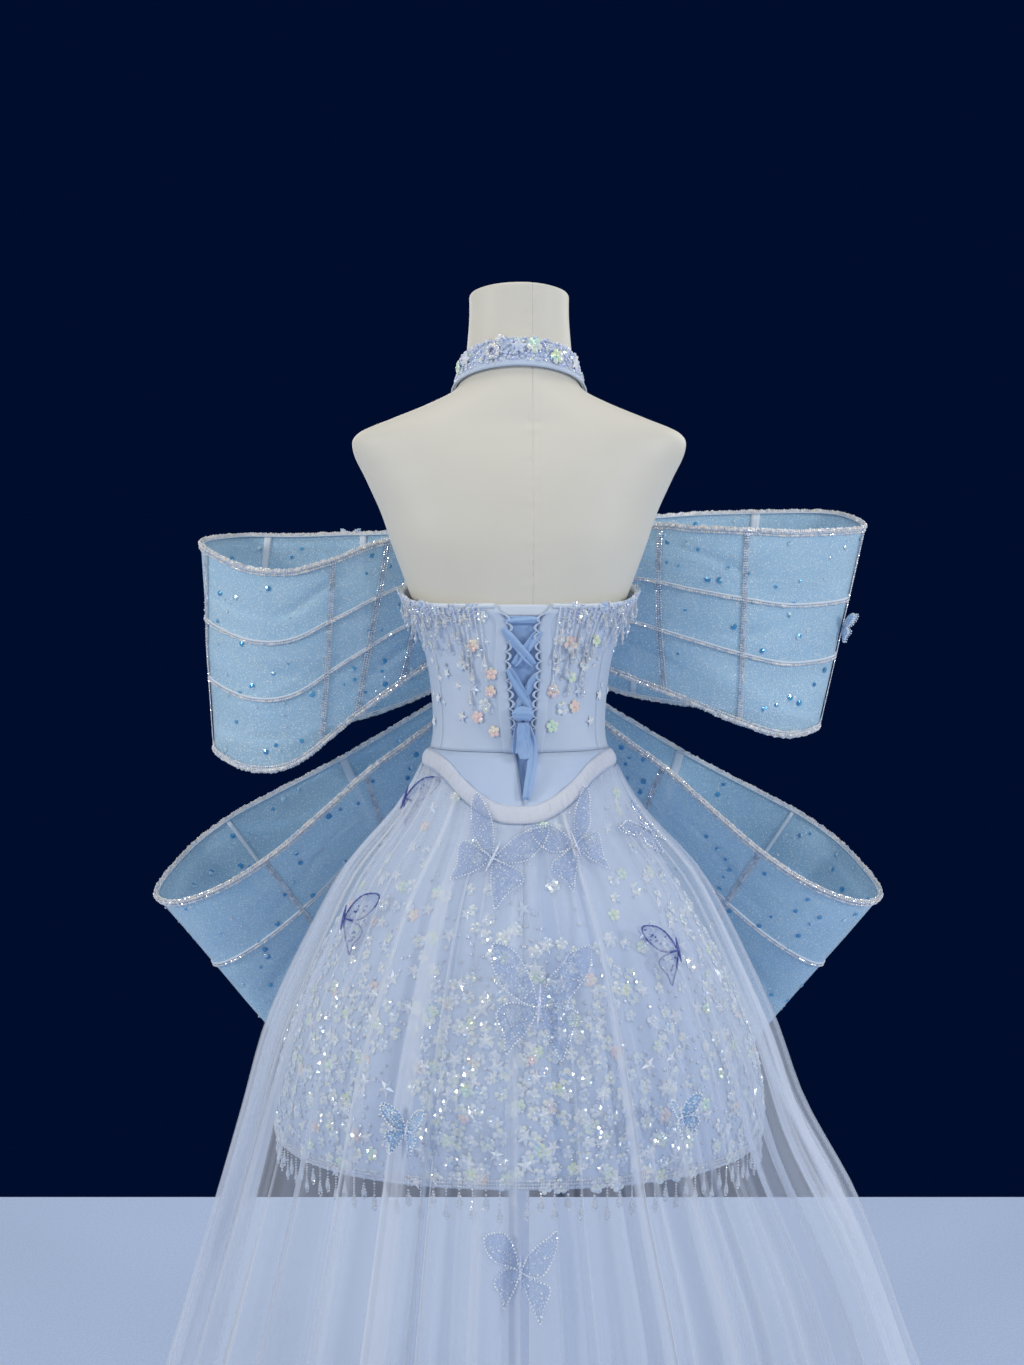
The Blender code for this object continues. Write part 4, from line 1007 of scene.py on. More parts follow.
@dataclass
class DressForm:
    """The limbless form and its stand."""

    top: float = 1.586
    bottom: float = 0.750
    rim: float = 0.004
    seam_reach: float = -0.015
    seam_depth: float = 0.0012
    seam_width: float = 0.0009
    seam_turn: float = -8.0
    sharp_degrees: float = 50.0

    def point(self, turn: float, height: float) -> Vector:
        """A point on the form's cover, with its puckered back and front seams."""
        near_end = min(self.top - height, height - self.bottom)
        inset = self.rim - math.sqrt(max(0.0, self.rim ** 2 - max(0.0, self.rim - near_end) ** 2))
        drift = FORM.turn_for(self.seam_reach, height) - self.seam_turn
        turn += drift * math.exp(-((turn - self.seam_turn) / 30) ** 2)
        point = FORM.point(turn, height, -inset)
        apart = point.x - self.seam_reach if around(turn) < 90 else point.x
        pucker = 0.8 + 0.4 * noise.noise(Vector((0.0, 3.1, height * 150)))
        groove = self.seam_depth * pucker * math.exp(-(apart / self.seam_width) ** 2)
        ripple = noise.noise(Vector((apart * 40, height * 110, 7.0)))
        gathers = 0.0010 * ripple * math.exp(-(apart / 0.010) ** 2)
        return point + facing_out(turn) * (gathers - groove)

    def build(self) -> None:
        """Make the cover over the form."""
        coarse = steps(-180, 180, 72)
        fine = steps(-14, -2, 24) + steps(-9.2, -6.8, 24) + steps(179, 180, 10) + steps(-180, -179, 10)
        turns = sorted({round(turn, 3) for turn in coarse + fine})[:-1]
        heights = (steps(self.top, self.top - self.rim, 3) + steps(1.578, 1.49, 30)
                   + steps(1.486, 1.40, 30) + steps(1.395, 1.215, 60) + steps(1.20, 0.76, 44)
                   + steps(self.bottom + self.rim, self.bottom, 3))
        form = bmesh.new()
        rings = [[form.verts.new(self.point(turn, height)) for turn in turns] for height in heights]
        skin(form, rings)
        for ring, height in ((rings[0], heights[0]), (rings[-1], heights[-1])):
            fan(form, ring, form.verts.new((0.0, 0.0, height)))
        mesh = smooth_mesh(form, "form_cover")
        mesh.set_sharp_from_angle(angle=math.radians(self.sharp_degrees))
        join_part(add_object("form_cover", mesh, Look.FORM), "form_cloth", ("dress_form",))
        LOG.info("form_cover: %d faces", len(mesh.polygons))


@dataclass
class Collar:
    """The beaded collar with its satin lower edge, and the two halter straps."""

    height: float = 0.030
    level: float = 1.507
    tilt: float = 0.013
    closing: float = 24.0
    out: float = 0.0034
    strap_width: float = 0.024
    strap_out: float = 0.0026
    strap_top: float = 0.034
    strap_low: float = 0.074
    ring_turn: float = 25.0
    ring_radius: float = 0.0066

    def top(self, turn: float) -> float:
        """The height of the collar's upper edge."""
        return self.level + self.tilt * math.cos(math.radians(turn))

    def place(self, turn: float, down: float, out: float = 0.0) -> Vector:
        """A point on the collar."""
        return FORM.point(turn, self.top(turn) - self.height * down, self.out + out)

    def build(self) -> None:
        """Make the band, its binding and its beads."""
        turns = steps(self.closing + 0.3, self.closing + FULL_TURN - 0.3, 120)
        band = Cloth(Look.SATIN, "bead_work", 0.0030, "stretched", ("form_cover",))
        band.piece("collar_band", Sheet(turns, steps(0.0, 1.0, 6), self.place), ("collar",))

        def over_band(turn: float, down: float) -> Vector:
            """A point just outside the band."""
            return self.place(turn, down, 0.0020)

        bind = Cloth(Look.SATIN, "lacing_satin", 0.0016, "stretched", ("collar_band",))
        low_turns = steps(self.closing - 6, self.closing + FULL_TURN - 2, 120)
        bind.piece("collar_binding", Sheet(low_turns, steps(0.84, 1.06, 3), over_band))
        face = Sheet(turns, steps(-0.04, 0.84, 6), over_band)
        everywhere = patch(face, "collar_face", lambda turn, down: 1.0)
        for name, trim in (
                ("collar_pearls", strew(Gem.ROUND, Look.PEARL, 0.0015, 0.0027, 0.0034, 90000.0, 2)),
                ("collar_stones", strew(Gem.STONE, Look.SILVER, 0.0018, 0.0030, 0.0060, 30000.0, 5)),
                ("collar_flowers", strew(Gem.FLOWER, Look.SHELL, 0.0050, 0.0072, 0.017, 9000.0, 8)),
                ("collar_stars", strew(Gem.STAR, Look.SUN, 0.0050, 0.0068, 0.034, 4000.0, 4))):
            trim.sew(name, everywhere.copy())
        self._large_beads()
        for name, side in (("strap_left", 1.0), ("strap_right", -1.0)):
            self._strap(name, side)

    def _large_beads(self) -> None:
        """The few large stars, flowers and the pearl ring that stand out at the back."""
        groups = {Gem.STAR: Threads(), Gem.FLOWER: Threads(), Gem.ROUND: Threads()}
        for gem, turn, down in LARGE_ON_COLLAR:
            groups[gem].spot(self.place(turn, down, 0.0052), facing_out(turn))
        middle = self.place(self.ring_turn, 0.45, 0.0048)
        turned = math.radians(self.ring_turn)
        aside = Vector((math.cos(turned), -math.sin(turned), 0.0))
        for angle in steps(0, math.tau, 10)[:-1]:
            point = middle + (aside * math.cos(angle) + UP * math.sin(angle)) * self.ring_radius
            groups[Gem.ROUND].spot(point, aside)
        for name, gem, look, size in (("collar_large_stars", Gem.STAR, Look.WHITE_STAR, 0.0095),
                                      ("collar_large_flowers", Gem.FLOWER, Look.SUN, 0.0085),
                                      ("collar_ring", Gem.ROUND, Look.CREAM, 0.0026)):
            Trim(gem, look, Layout.SPOTS, size, size * 1.1).sew(name, groups[gem].mesh(name))

    def _strap(self, name: str, side: float) -> None:
        """A halter strap from the collar's lower edge to the top of the bust."""
        def place(across: float, down: float) -> Vector:
            """A point on the strap."""
            aside = side * (self.strap_top + (self.strap_low - self.strap_top) * down + across)
            low_turn = 180 - FORM.turn_for(aside, 1.29)
            top = self.top(180 - FORM.turn_for(aside, 1.456)) - self.height - 0.0006
            low = between(TOP_EDGE, around(low_turn), 1) + 0.0006
            height = top + (low - top) * down
            puff = 0.0006 * math.cos(math.pi * across / self.strap_width)
            return FORM.point(180 - FORM.turn_for(aside, height), height, self.strap_out + puff)

        half = self.strap_width / 2
        strap = Cloth(Look.SATIN, "bodice_satin", 0.0012, "stretched", ("form_cover",))
        strap.piece(f"halter_{name}", Sheet(steps(-half, half, 8), steps(0.0, 1.0, 40), place), (name,))
        face = Sheet(steps(-half * 0.8, half * 0.8, 4), steps(0.02, 0.98, 20),
                     lambda across, down: place(across, down) + Vector((0, -0.0014, 0)))
        trim = strew(Gem.STONE, Look.SILVER, 0.0014, 0.0022, 0.0075, 9000.0, 6)
        trim.sew(f"halter_{name}_stones", patch(face, name, lambda across, down: 1.0), "bodice_satin")


@dataclass
class Bodice:
    """The five bodice panels, their beading and the laced back."""

    bottom: float = 1.0503
    out: float = 0.0044
    back_seam: float = 60.0
    side_seam: float = 120.0
    gape: float = 0.005
    placket: float = 0.013
    longest_drop: float = 0.098
    drops_a_side: int = 26
    drops_from: float = 19.0
    drops_to: float = 92.0
    loops_a_side: int = 13
    seam_gap: float = 0.15
    back_top: float = 1.217
    creases: tuple[Crease, ...] = creased(
        (-0.085, 1.08, -0.040, 1.066, 0.004, 0.0012), (-0.10, 1.13, -0.06, 1.11, 0.006, 0.0014),
        (0.035, 1.07, 0.09, 1.085, 0.005, 0.0012), (0.05, 1.12, 0.10, 1.135, 0.007, 0.0013),
        (0.03, 1.165, 0.075, 1.16, 0.006, 0.0010), (-0.08, 1.17, -0.03, 1.16, 0.006, 0.0010),
        (0.20, 1.09, 0.27, 1.075, 0.007, 0.0012), (-0.27, 1.08, -0.20, 1.10, 0.007, 0.0012))

    def point(self, turn: float, height: float, out: float = 0.0) -> Vector:
        """A point on the bodice, which stands away from the body at its upper edge."""
        wrapped = around(turn)
        open_at = ease(1.165, 1.225, height) * ease(24, 50, wrapped) * (1 - ease(100, 140, wrapped))
        dip = dips(self.creases, (math.radians(turn) * 0.11, height))
        return FORM.point(turn, height, self.out + self.gape * open_at - dip + out)

    def top(self, turn: float) -> float:
        """The height of the bodice's upper edge."""
        return between(TOP_EDGE, around(turn), 1)

    def at(self, turn: float, down: float, out: float = 0.0) -> Vector:
        """A point on the bodice by its share of the way down."""
        top = self.top(turn)
        return self.point(turn, top + (self.bottom - top) * down, out)

    def opening_turn(self, side: float, height: float, aside: float = 0.0) -> float:
        """The turn of one edge of the laced opening, or of a place beside it."""
        half = between(OPENING, height, 1)
        return FORM.turn_for(OPENING_MIDDLE + side * (half + aside), height)

    def back_turn(self, side: float, across: float, down: float) -> float:
        """The turn of a place on a back panel."""
        height = self.back_top + (self.bottom - self.back_top) * down
        inner = self.opening_turn(side, height)
        return inner + (side * (self.back_seam - self.seam_gap) - inner) * across

    def build(self) -> None:
        """Make the panels, plackets, beads and lacing."""
        satin = Cloth(Look.SATIN, "bodice_satin", 0.0020, "stretched", ("form_cover",))
        rows, gap = steps(0.0, 1.0, 36), self.seam_gap
        front = Sheet(steps(self.side_seam + gap, FULL_TURN - self.side_seam - gap, 56), rows, self.at)
        satin.piece("bodice_front_panel", front, ("bodice_front",))
        for name, side in SIDES:
            seams = sorted((side * (self.back_seam + gap), side * (self.side_seam - gap)))
            satin.piece(f"bodice_side_{name}_panel", Sheet(steps(*seams, 26), rows, self.at),
                        (f"bodice_side_{name}",))
            back = Sheet(steps(0.0, 1.0, 26), rows,
                         lambda across, down, s=side: self.at(self.back_turn(s, across, down), down))
            satin.piece(f"bodice_back_{name}_panel", back, (f"bodice_back_{name}",))
            self._placket(name, side)
            self._lacing_loops(name, side)
        self._roll()
        self._beads()
        self._sewn()
        self._drops()

    def _placket(self, name: str, side: float) -> None:
        """The plain folded strip beside the opening."""
        top = self.back_top - 0.004

        def place(aside: float, down: float) -> Vector:
            """A point on the strip."""
            height = top + (self.bottom - top) * down
            puff = 0.0004 * math.sin(math.pi * min(1.0, max(0.0, aside / self.placket)))
            return self.point(self.opening_turn(side, height, aside), height, 0.0013 + puff)

        strip = Cloth(Look.SATIN, "bodice_satin", 0.0012, "laid", (f"bodice_back_{name}_panel",))
        strip.piece(f"placket_{name}", Sheet(steps(0.0002, self.placket, 6), steps(0.0, 1.0, 30), place))

    def _lacing_loops(self, name: str, side: float) -> None:
        """The row of small rouleau loops along one edge of the opening, through which the ribbon runs."""
        top, low, count = 1.2080, 1.068, self.loops_a_side

        def place(around_cord: float, part: float) -> Vector:
            """A point on the cord, which goes out and back in again at each loop."""
            height = top + (low - top) * part
            bow = abs(math.sin(math.pi * count * part)) ** 0.7
            aside = -0.0052 * bow + 0.0012 + 0.0014 * math.cos(around_cord)
            out = 0.0022 + 0.0013 * math.sin(around_cord)
            return self.point(self.opening_turn(side, height, aside), height, out)

        cord = Cloth(Look.SATIN, "bodice_satin", 0.0004, "stretched", (f"bodice_back_{name}_panel",))
        cord.piece(f"lacing_loops_{name}", Sheet(steps(0, math.tau, 6), steps(0.0, 1.0, count * 8), place))

    def _roll(self) -> None:
        """The white satin roll along the whole upper edge."""
        inner = self.opening_turn(1.0, self.top(0.0), 0.001), self.opening_turn(-1.0, self.top(0.0), 0.001)

        def place(angle: float, turn: float) -> Vector:
            """A point on the roll, round its own middle line."""
            swell = 1 + 0.12 * noise.noise(Vector((turn * 0.2, 1.7, 0.0)))
            out = 0.0002 + 0.0024 * math.sin(angle) * swell
            return self.point(turn, self.top(turn) - 0.0006 + 0.0026 * math.cos(angle) * swell, out)

        satin = Cloth(Look.WHITE_SATIN, "bodice_satin", 0.0008, "folded", ("bodice_front_panel",))
        satin.piece("bodice_top_roll",
                    Sheet(steps(0, math.tau, 10), steps(inner[0], FULL_TURN + inner[1], 240), place))

    def _sewn(self) -> None:
        """The larger flowers and stars sewn to the back, one by one."""
        groups = {look: Threads() for look in (Look.ROSE, Look.SUN, Look.SHELL, Look.WHITE_STAR)}
        for look, turn, height, size in SEWN_ON_BODICE:
            groups[look].spot(self.point(turn, height, 0.0026), facing_out(turn), size)
        for look, threads in groups.items():
            gem = Gem.STAR if look is Look.WHITE_STAR else Gem.FLOWER
            Trim(gem, look, Layout.SPOTS, 0.0072, 0.0080, seed=24).sew(
                f"bodice_sewn_{look.name.lower()}", threads.mesh(look.name))

    def _beads(self) -> None:
        """The beading: dense at the upper edge, flowers and stars scattered below it."""
        def thickly(turn: float, down: float, dense_to: float, thin_to: float, thin: float) -> float:
            """How thickly a place is beaded."""
            top = self.top(turn)
            height = top + (self.bottom - top) * down
            if around(turn) < 60:
                opening = self.opening_turn(math.copysign(1.0, turn), height, self.placket + 0.003)
                if abs(turn) < abs(opening) + 1.5:
                    return 0.0
            below = top - height
            if below < dense_to:
                return 1.0
            return thin * (1 - ease(thin_to * 0.35, thin_to, below))

        turns, rows = steps(-180, 180, 180), steps(-0.012, 0.97, 60)
        face = Sheet(turns, rows,
                     lambda turn, down: self.at(turn, down, 0.0016 + 0.0016 * (1 - ease(0.0, 0.03, down))))
        for name, trim, dense, thin_to, thin in (
                ("bodice_pearls", strew(Gem.BALL, Look.PEARL, 0.0011, 0.0021, 0.0036, 60000.0, 12),
                 0.019, 0.060, 0.06),
                ("bodice_stones", strew(Gem.STONE, Look.SILVER, 0.0013, 0.0024, 0.0052, 30000.0, 13),
                 0.020, 0.11, 0.10),
                ("bodice_flowers", strew(Gem.FLOWER, Look.SHELL, 0.0050, 0.0075, 0.0150, 9000.0, 17),
                 0.022, 0.110, 0.35),
                ("bodice_stars", strew(Gem.STAR, Look.WHITE_STAR, 0.0042, 0.0062, 0.022, 3000.0, 19),
                 0.020, 0.15, 0.5)):
            carrier = patch(face, name,
                            lambda turn, down, d=dense, t=thin_to, s=thin: thickly(turn, down, d, t, s))
            trim.sew(name, carrier)

    def _drops(self) -> None:
        """The bead drops over the upper edge at the back."""
        rolls = random.Random(23)
        strings, ends = Threads(), Threads()
        for side, long_to in ((1.0, 36.0), (-1.0, 50.0)):
            for index in range(self.drops_a_side):
                turn = side * (self.drops_from + (self.drops_to - self.drops_from)
                               * (index + 0.5) / self.drops_a_side)
                tiers = (0.95, 0.45, 0.12, 0.70) if abs(turn) < long_to else (0.36, 0.12, 0.24, 0.07)
                length = self.longest_drop * tiers[index % 4] * rolls.uniform(0.85, 1.1)
                top = self.top(turn) - 0.003
                facing = facing_out(turn)
                line = [self.point(turn, top - length * part, 0.0030 + 0.0006 * part)
                        for part in steps(0, 1, 10)]
                strings.line(line, [facing] * len(line))
                half = rolls.uniform(0.0036, 0.0048)
                for level in (1.0, 0.55) if length > 0.045 else (1.0,):
                    hang = self.point(turn, top - length * level, 0.0036)
                    teardrop(strings, hang, facing, half, rolls.uniform(0.014, 0.018))
                    ends.spot(hang - Vector((0, 0, 0.004)), UP, rolls.uniform(-0.1, 0.25))
        Trim(Gem.BALL, Look.CREAM, Layout.ROWS, 0.0008, 0.0010, 0.0021).sew(
            "bodice_drop_strings", strings.mesh("strings"),
            replaces=("bodice_fringe_left", "bodice_fringe_right"))
        Trim(Gem.DROP, Look.CLEAR, Layout.SPOTS, 0.0022, 0.0024, spin=0.0).sew(
            "bodice_drops", ends.mesh("drops"))


@dataclass(frozen=True)
class Run:
    """One run of lacing ribbon: its solid, width, how far out it lies and its middle line."""

    name: str
    width: float
    out: float
    path: tuple[Point2, ...]


@dataclass
class Lacing:
    """The blue satin panel behind the opening, and the ribbon laced and tied over it."""

    half: float = 0.042
    top: float = 1.2165
    bottom: float = 0.996
    runs: tuple[Run, ...] = (
        Run("lacing_bar", 0.0080, 0.0064, ((0.0160, 1.2005), (-0.0215, 1.2005))),
        Run("lacing_cross_1", 0.0095, 0.0080, ((0.0172, 1.1905), (-0.0150, 1.1500))),
        Run("lacing_cross_2", 0.0095, 0.0064, ((-0.0215, 1.1882), (0.0060, 1.1500))),
        Run("lacing_cross_3", 0.0095, 0.0080, ((0.0110, 1.1455), (-0.0120, 1.0990))),
        Run("lacing_cross_4", 0.0095, 0.0064, ((-0.0190, 1.1400), (0.0040, 1.0990))),
        Run("lacing_tail_left", 0.0095, 0.0114,
            ((-0.0015, 1.0838), (0.0010, 1.0740), (0.0045, 1.0500))),
        Run("lacing_tail_right", 0.0095, 0.0134,
            ((-0.0052, 1.0838), (-0.0085, 1.0750), (-0.0130, 1.0560), (-0.0115, 1.0300),
             (-0.0060, 1.0000))),
        Run("lacing_tail_middle", 0.0130, 0.0154,
            ((-0.0034, 1.0850), (-0.0042, 1.0640), (-0.0050, 1.0440))))
    knot_size: tuple[float, float, float] = (0.022, 0.009, 0.016)
    knot_at: Point2 = (-0.0034, 1.0942)
    knot_out: float = 0.0140
    creases: tuple[Crease, ...] = creased(
        (-0.02, 1.19, 0.015, 1.15, 0.004, 0.0010), (0.02, 1.17, -0.012, 1.13, 0.004, 0.0010),
        (-0.01, 1.10, 0.012, 1.06, 0.003, 0.0008), (0.004, 1.05, -0.002, 1.01, 0.003, 0.0008))

    def build(self) -> None:
        """Make the panel, the ribbons and the knot."""
        panel = Cloth(Look.BLUE_SATIN, "lacing_satin", 0.0010, "stretched", ("form_cover",))

        def under(reach: float, height: float) -> Vector:
            """A point on the panel."""
            dip = dips(self.creases, (reach, height))
            return FORM.point(FORM.turn_for(OPENING_MIDDLE + reach, height), height, 0.0015 - dip * 0.6)

        whole = Sheet(steps(-self.half, self.half, 28), steps(self.top, self.bottom, 60), under)
        panel.piece("modesty_satin", whole, ("modesty_panel",))
        strip = Cloth(Look.WHITE_SATIN, "lacing_satin", 0.0008, "stretched", ("modesty_satin",))
        edge = Sheet(steps(-self.half, self.half, 16), steps(self.top + 0.001, self.top - 0.012, 5),
                     lambda reach, height: under(reach, height) + Vector((0, 0.0011, 0)))
        strip.piece("modesty_strip", edge)
        ribbon = Cloth(Look.BLUE_SATIN, "lacing_satin", 0.0009, "stretched", ("modesty_satin",))
        for index, run in enumerate(self.runs):
            half = run.width / 2
            place = self._ribbon_place(run, index)
            ribbon.piece(f"{run.name}_ribbon", Sheet(steps(-half, half, 10), steps(0.0, 1.0, 30), place),
                         (run.name,))
        self._knot()

    def _ribbon_place(self, run: Run, index: int) -> Place:
        """Where a run of ribbon goes, with its lengthwise creases."""
        rows = tuple((place / (len(run.path) - 1), *point) for place, point in enumerate(run.path))

        def at(part: float) -> Vector:
            """A place on the run's middle line."""
            return Vector([between(rows, part, column) for column in (1, 2)])

        def place(across: float, part: float) -> Vector:
            """A point on the ribbon."""
            way = (at(min(1.0, part + 0.01)) - at(max(0.0, part - 0.01))).normalized()
            pinch = 1 - 0.28 * math.exp(-(min(part, 1 - part) / 0.12) ** 2)
            reach, height = at(part) + Vector((-way.y, way.x)) * across * pinch
            fold = 0.0011 * math.sin(across / run.width * 7 + index * 1.7 + part * 2.2)
            curl = 0.0008 * noise.noise(Vector((across * 260, part * 5, index)))
            return FORM.point(FORM.turn_for(reach, height), height, run.out + fold + curl)

        return place

    def _knot(self) -> None:
        """The small tied knot: a wrapped ribbon with folds round it."""
        wide, deep, tall = self.knot_size
        middle = FORM.point(FORM.turn_for(*self.knot_at), self.knot_at[1], self.knot_out)

        def place(angle: float, across: float) -> Vector:
            """A point on the wrap, round an upright axis that leans."""
            side = math.copysign(abs(math.cos(angle)) ** 0.6, math.cos(angle))
            out = math.copysign(abs(math.sin(angle)) ** 0.6, math.sin(angle))
            swell = 1 + 0.10 * math.cos(across * math.pi) + 0.06 * math.sin(across * 9 + angle)
            pinched = 1 - 0.75 * abs(across) ** 5
            return middle + Vector((wide / 2 * side * swell * pinched, deep / 2 * out * swell * pinched,
                                    tall / 2 * across + 0.0015 * math.sin(angle)))

        knot = Cloth(Look.BLUE_SATIN, "lacing_satin", 0.0008, "folded", ("modesty_satin",))
        knot.piece("lacing_knot_wrap", Sheet(steps(0, math.tau, 32), steps(-1, 1, 16), place),
                   ("lacing_knot",))


@dataclass
class ShortSkirt:
    """The beaded short skirt: a front and two backs, with drops on its hem."""

    hem: float = 0.600
    hem_rise: float = 0.024
    top: float = 1.0497
    slit_bottom: float = 1.000
    drops: int = 132
    creases: tuple[Crease, ...] = creased(
        (0.10, 1.02, 0.13, 0.88, 0.010, 0.0030), (-0.08, 1.02, -0.11, 0.90, 0.009, 0.0028),
        (0.22, 1.00, 0.26, 0.82, 0.013, 0.0034), (-0.21, 0.99, -0.25, 0.80, 0.013, 0.0034),
        (0.40, 1.01, 0.43, 0.86, 0.012, 0.0030), (-0.42, 1.01, -0.44, 0.88, 0.012, 0.0030),
        (0.04, 0.97, 0.05, 0.86, 0.007, 0.0018), (0.52, 1.0, 0.55, 0.84, 0.010, 0.0026))

    def hem_at(self, turn: float) -> float:
        """The height of the hem."""
        return self.hem + self.hem_rise * max(0.0, math.cos(math.radians(turn))) ** 2

    def at(self, turn: float, down: float, out: float = 0.0) -> Vector:
        """A point on the skirt."""
        height = self.top + (self.hem_at(turn) - self.top) * down
        dip = dips(self.creases, (math.radians(turn) * 0.2, height)) * ease(0.0, 0.1, down)
        return SKIRT.point(turn, height, out - dip)

    def build(self) -> None:
        """Make the panels, their beads and the drops."""
        satin = Cloth(Look.SKIRT_SATIN, "bodice_satin", 0.0015, "hung", ("form_cover",))
        rows = steps(0.0, 1.0, 50)
        front = Sheet(steps(90.1, 269.9, 90), rows, self.at)
        satin.piece("skirt_front_panel", front, ("skirt_front",))
        for name, side in SIDES:
            def place(across: float, down: float, side: float = side) -> Vector:
                """A point on a back panel, up to the slit."""
                height = self.top + (self.hem - self.top) * down
                half = between(OPENING, height, 1) if height > self.slit_bottom else 0.00015
                inner = SKIRT.turn_for(OPENING_MIDDLE + side * max(0.00015, half), height)
                return self.at(inner + (side * 89.9 - inner) * across, down)

            satin.piece(f"skirt_back_{name}_panel", Sheet(steps(0.0, 1.0, 44), rows, place),
                        (f"skirt_back_{name}",))
        self._beads()
        self._fringe()

    def _beads(self) -> None:
        """Crystal flowers and stars, thickest towards the hem."""
        def thickly(turn: float, down: float, start: float, least: float) -> float:
            """How thickly a place is beaded: in strands that thicken towards the hem."""
            strand = noise.noise(Vector((math.cos(math.radians(turn)) * 5, math.sin(math.radians(turn)) * 5,
                                         down * 1.2)))
            if around(turn) < 9 and down < 0.14:
                return 0.0
            share = least + (1 - least) * ease(start, 0.70, down)
            return share * (0.45 + 0.55 * ease(-0.30, 0.10, strand))

        face = Sheet(steps(-180, 180, 160), steps(0.06, 0.995, 50),
                     lambda turn, down: self.at(turn, down, 0.0016))
        for name, trim, start, least in (
                ("skirt_flowers", strew(Gem.FLOWER, Look.SHELL, 0.0066, 0.0092, 0.0150, 16000.0, 31),
                 0.12, 0.10),
                ("skirt_green_flowers", strew(Gem.FLOWER, Look.SUN, 0.0065, 0.0085, 0.036, 1800.0, 35),
                 0.20, 0.10),
                ("skirt_rose_flowers", strew(Gem.FLOWER, Look.ROSE, 0.0060, 0.0080, 0.050, 800.0, 36),
                 0.20, 0.12),
                ("skirt_stones", strew(Gem.STONE, Look.SILVER, 0.0016, 0.0028, 0.0085, 16000.0, 32),
                 0.25, 0.06),
                ("skirt_pearls", strew(Gem.BALL, Look.PEARL, 0.0014, 0.0022, 0.0110, 9000.0, 33),
                 0.35, 0.03),
                ("skirt_stars", strew(Gem.STAR, Look.WHITE_STAR, 0.0080, 0.0110, 0.026, 4000.0, 34),
                 0.15, 0.20)):
            carrier = patch(face, name, lambda turn, down, s=start, l=least: thickly(turn, down, s, l))
            trim.sew(name, carrier)

    def _fringe(self) -> None:
        """Strings of beads with a drop at each end, all round the hem."""
        rolls = random.Random(29)
        strings, ends = Threads(), Threads()
        for index in range(self.drops):
            turn = FULL_TURN * (index + 0.5) / self.drops - 180
            length = (0.016 if index % 2 else 0.006) + rolls.uniform(-0.002, 0.002)
            start = SKIRT.point(turn, self.hem_at(turn) - 0.0006, 0.0)
            facing = facing_out(turn)
            low = start - UP * length
            strings.line([start.lerp(low, part) for part in steps(0, 1, 3)], [facing] * 4)
            teardrop(strings, low, facing, 0.0042, 0.016)
            ends.spot(low - Vector((0, 0, 0.003)), UP, rolls.uniform(-0.1, 0.1))
        edge = [SKIRT.point(turn, self.hem_at(turn) + 0.003, 0.0024) for turn in steps(-180, 180, 240)]
        for rise in (0.0, 0.0034, 0.0068):
            strings.line([point + UP * rise for point in edge], [UP] * len(edge))
        Trim(Gem.BALL, Look.CREAM, Layout.ROWS, 0.0009, 0.0014, 0.0028).sew(
            "hem_strings", strings.mesh("hem_strings"), replaces=("hem_fringe",))
        Trim(Gem.DROP, Look.CLEAR, Layout.SPOTS, 0.0028, 0.0028, spin=0.0).sew(
            "hem_drops", ends.mesh("hem_drops"))


@dataclass(frozen=True)
class Ridge:
    """A sharp small ridge down one fold: its place across it, width, height, drift and first height."""

    place: float
    width: float
    height: float
    drift: float
    start: float

    def rise(self, part: float, down: float) -> float:
        """How far the ridge stands out at a place."""
        apart = (part - self.place - self.drift * math.sin(3 * down + 40 * self.place)) / self.width
        return self.height * math.exp(-apart ** 2) * ease(0.0, 0.25, down - self.start)


@dataclass(frozen=True)
class Fold:
    """One fold of the overskirt: where it starts and ends, its depth, ridges and doubled strip.

    The strip where the tulle doubles over itself has two edges across the fold, how much more it hides, and
    where it starts down the skirt.
    """

    start: float
    end: float
    depth: float
    ridges: tuple[Ridge, ...]
    doubled: tuple[float, float, float, float]

    def doubling(self, part: float, down: float) -> float:
        """How much more the tulle hides at a place because it is doubled there."""
        first, last, more, start = self.doubled
        first += 0.10 * math.sin(2.5 * down + 30 * more)
        inside = ease(first, first + 0.05, part) * (1 - ease(last, last + 0.05, part))
        return more * inside * ease(0.0, 0.2, down - start)


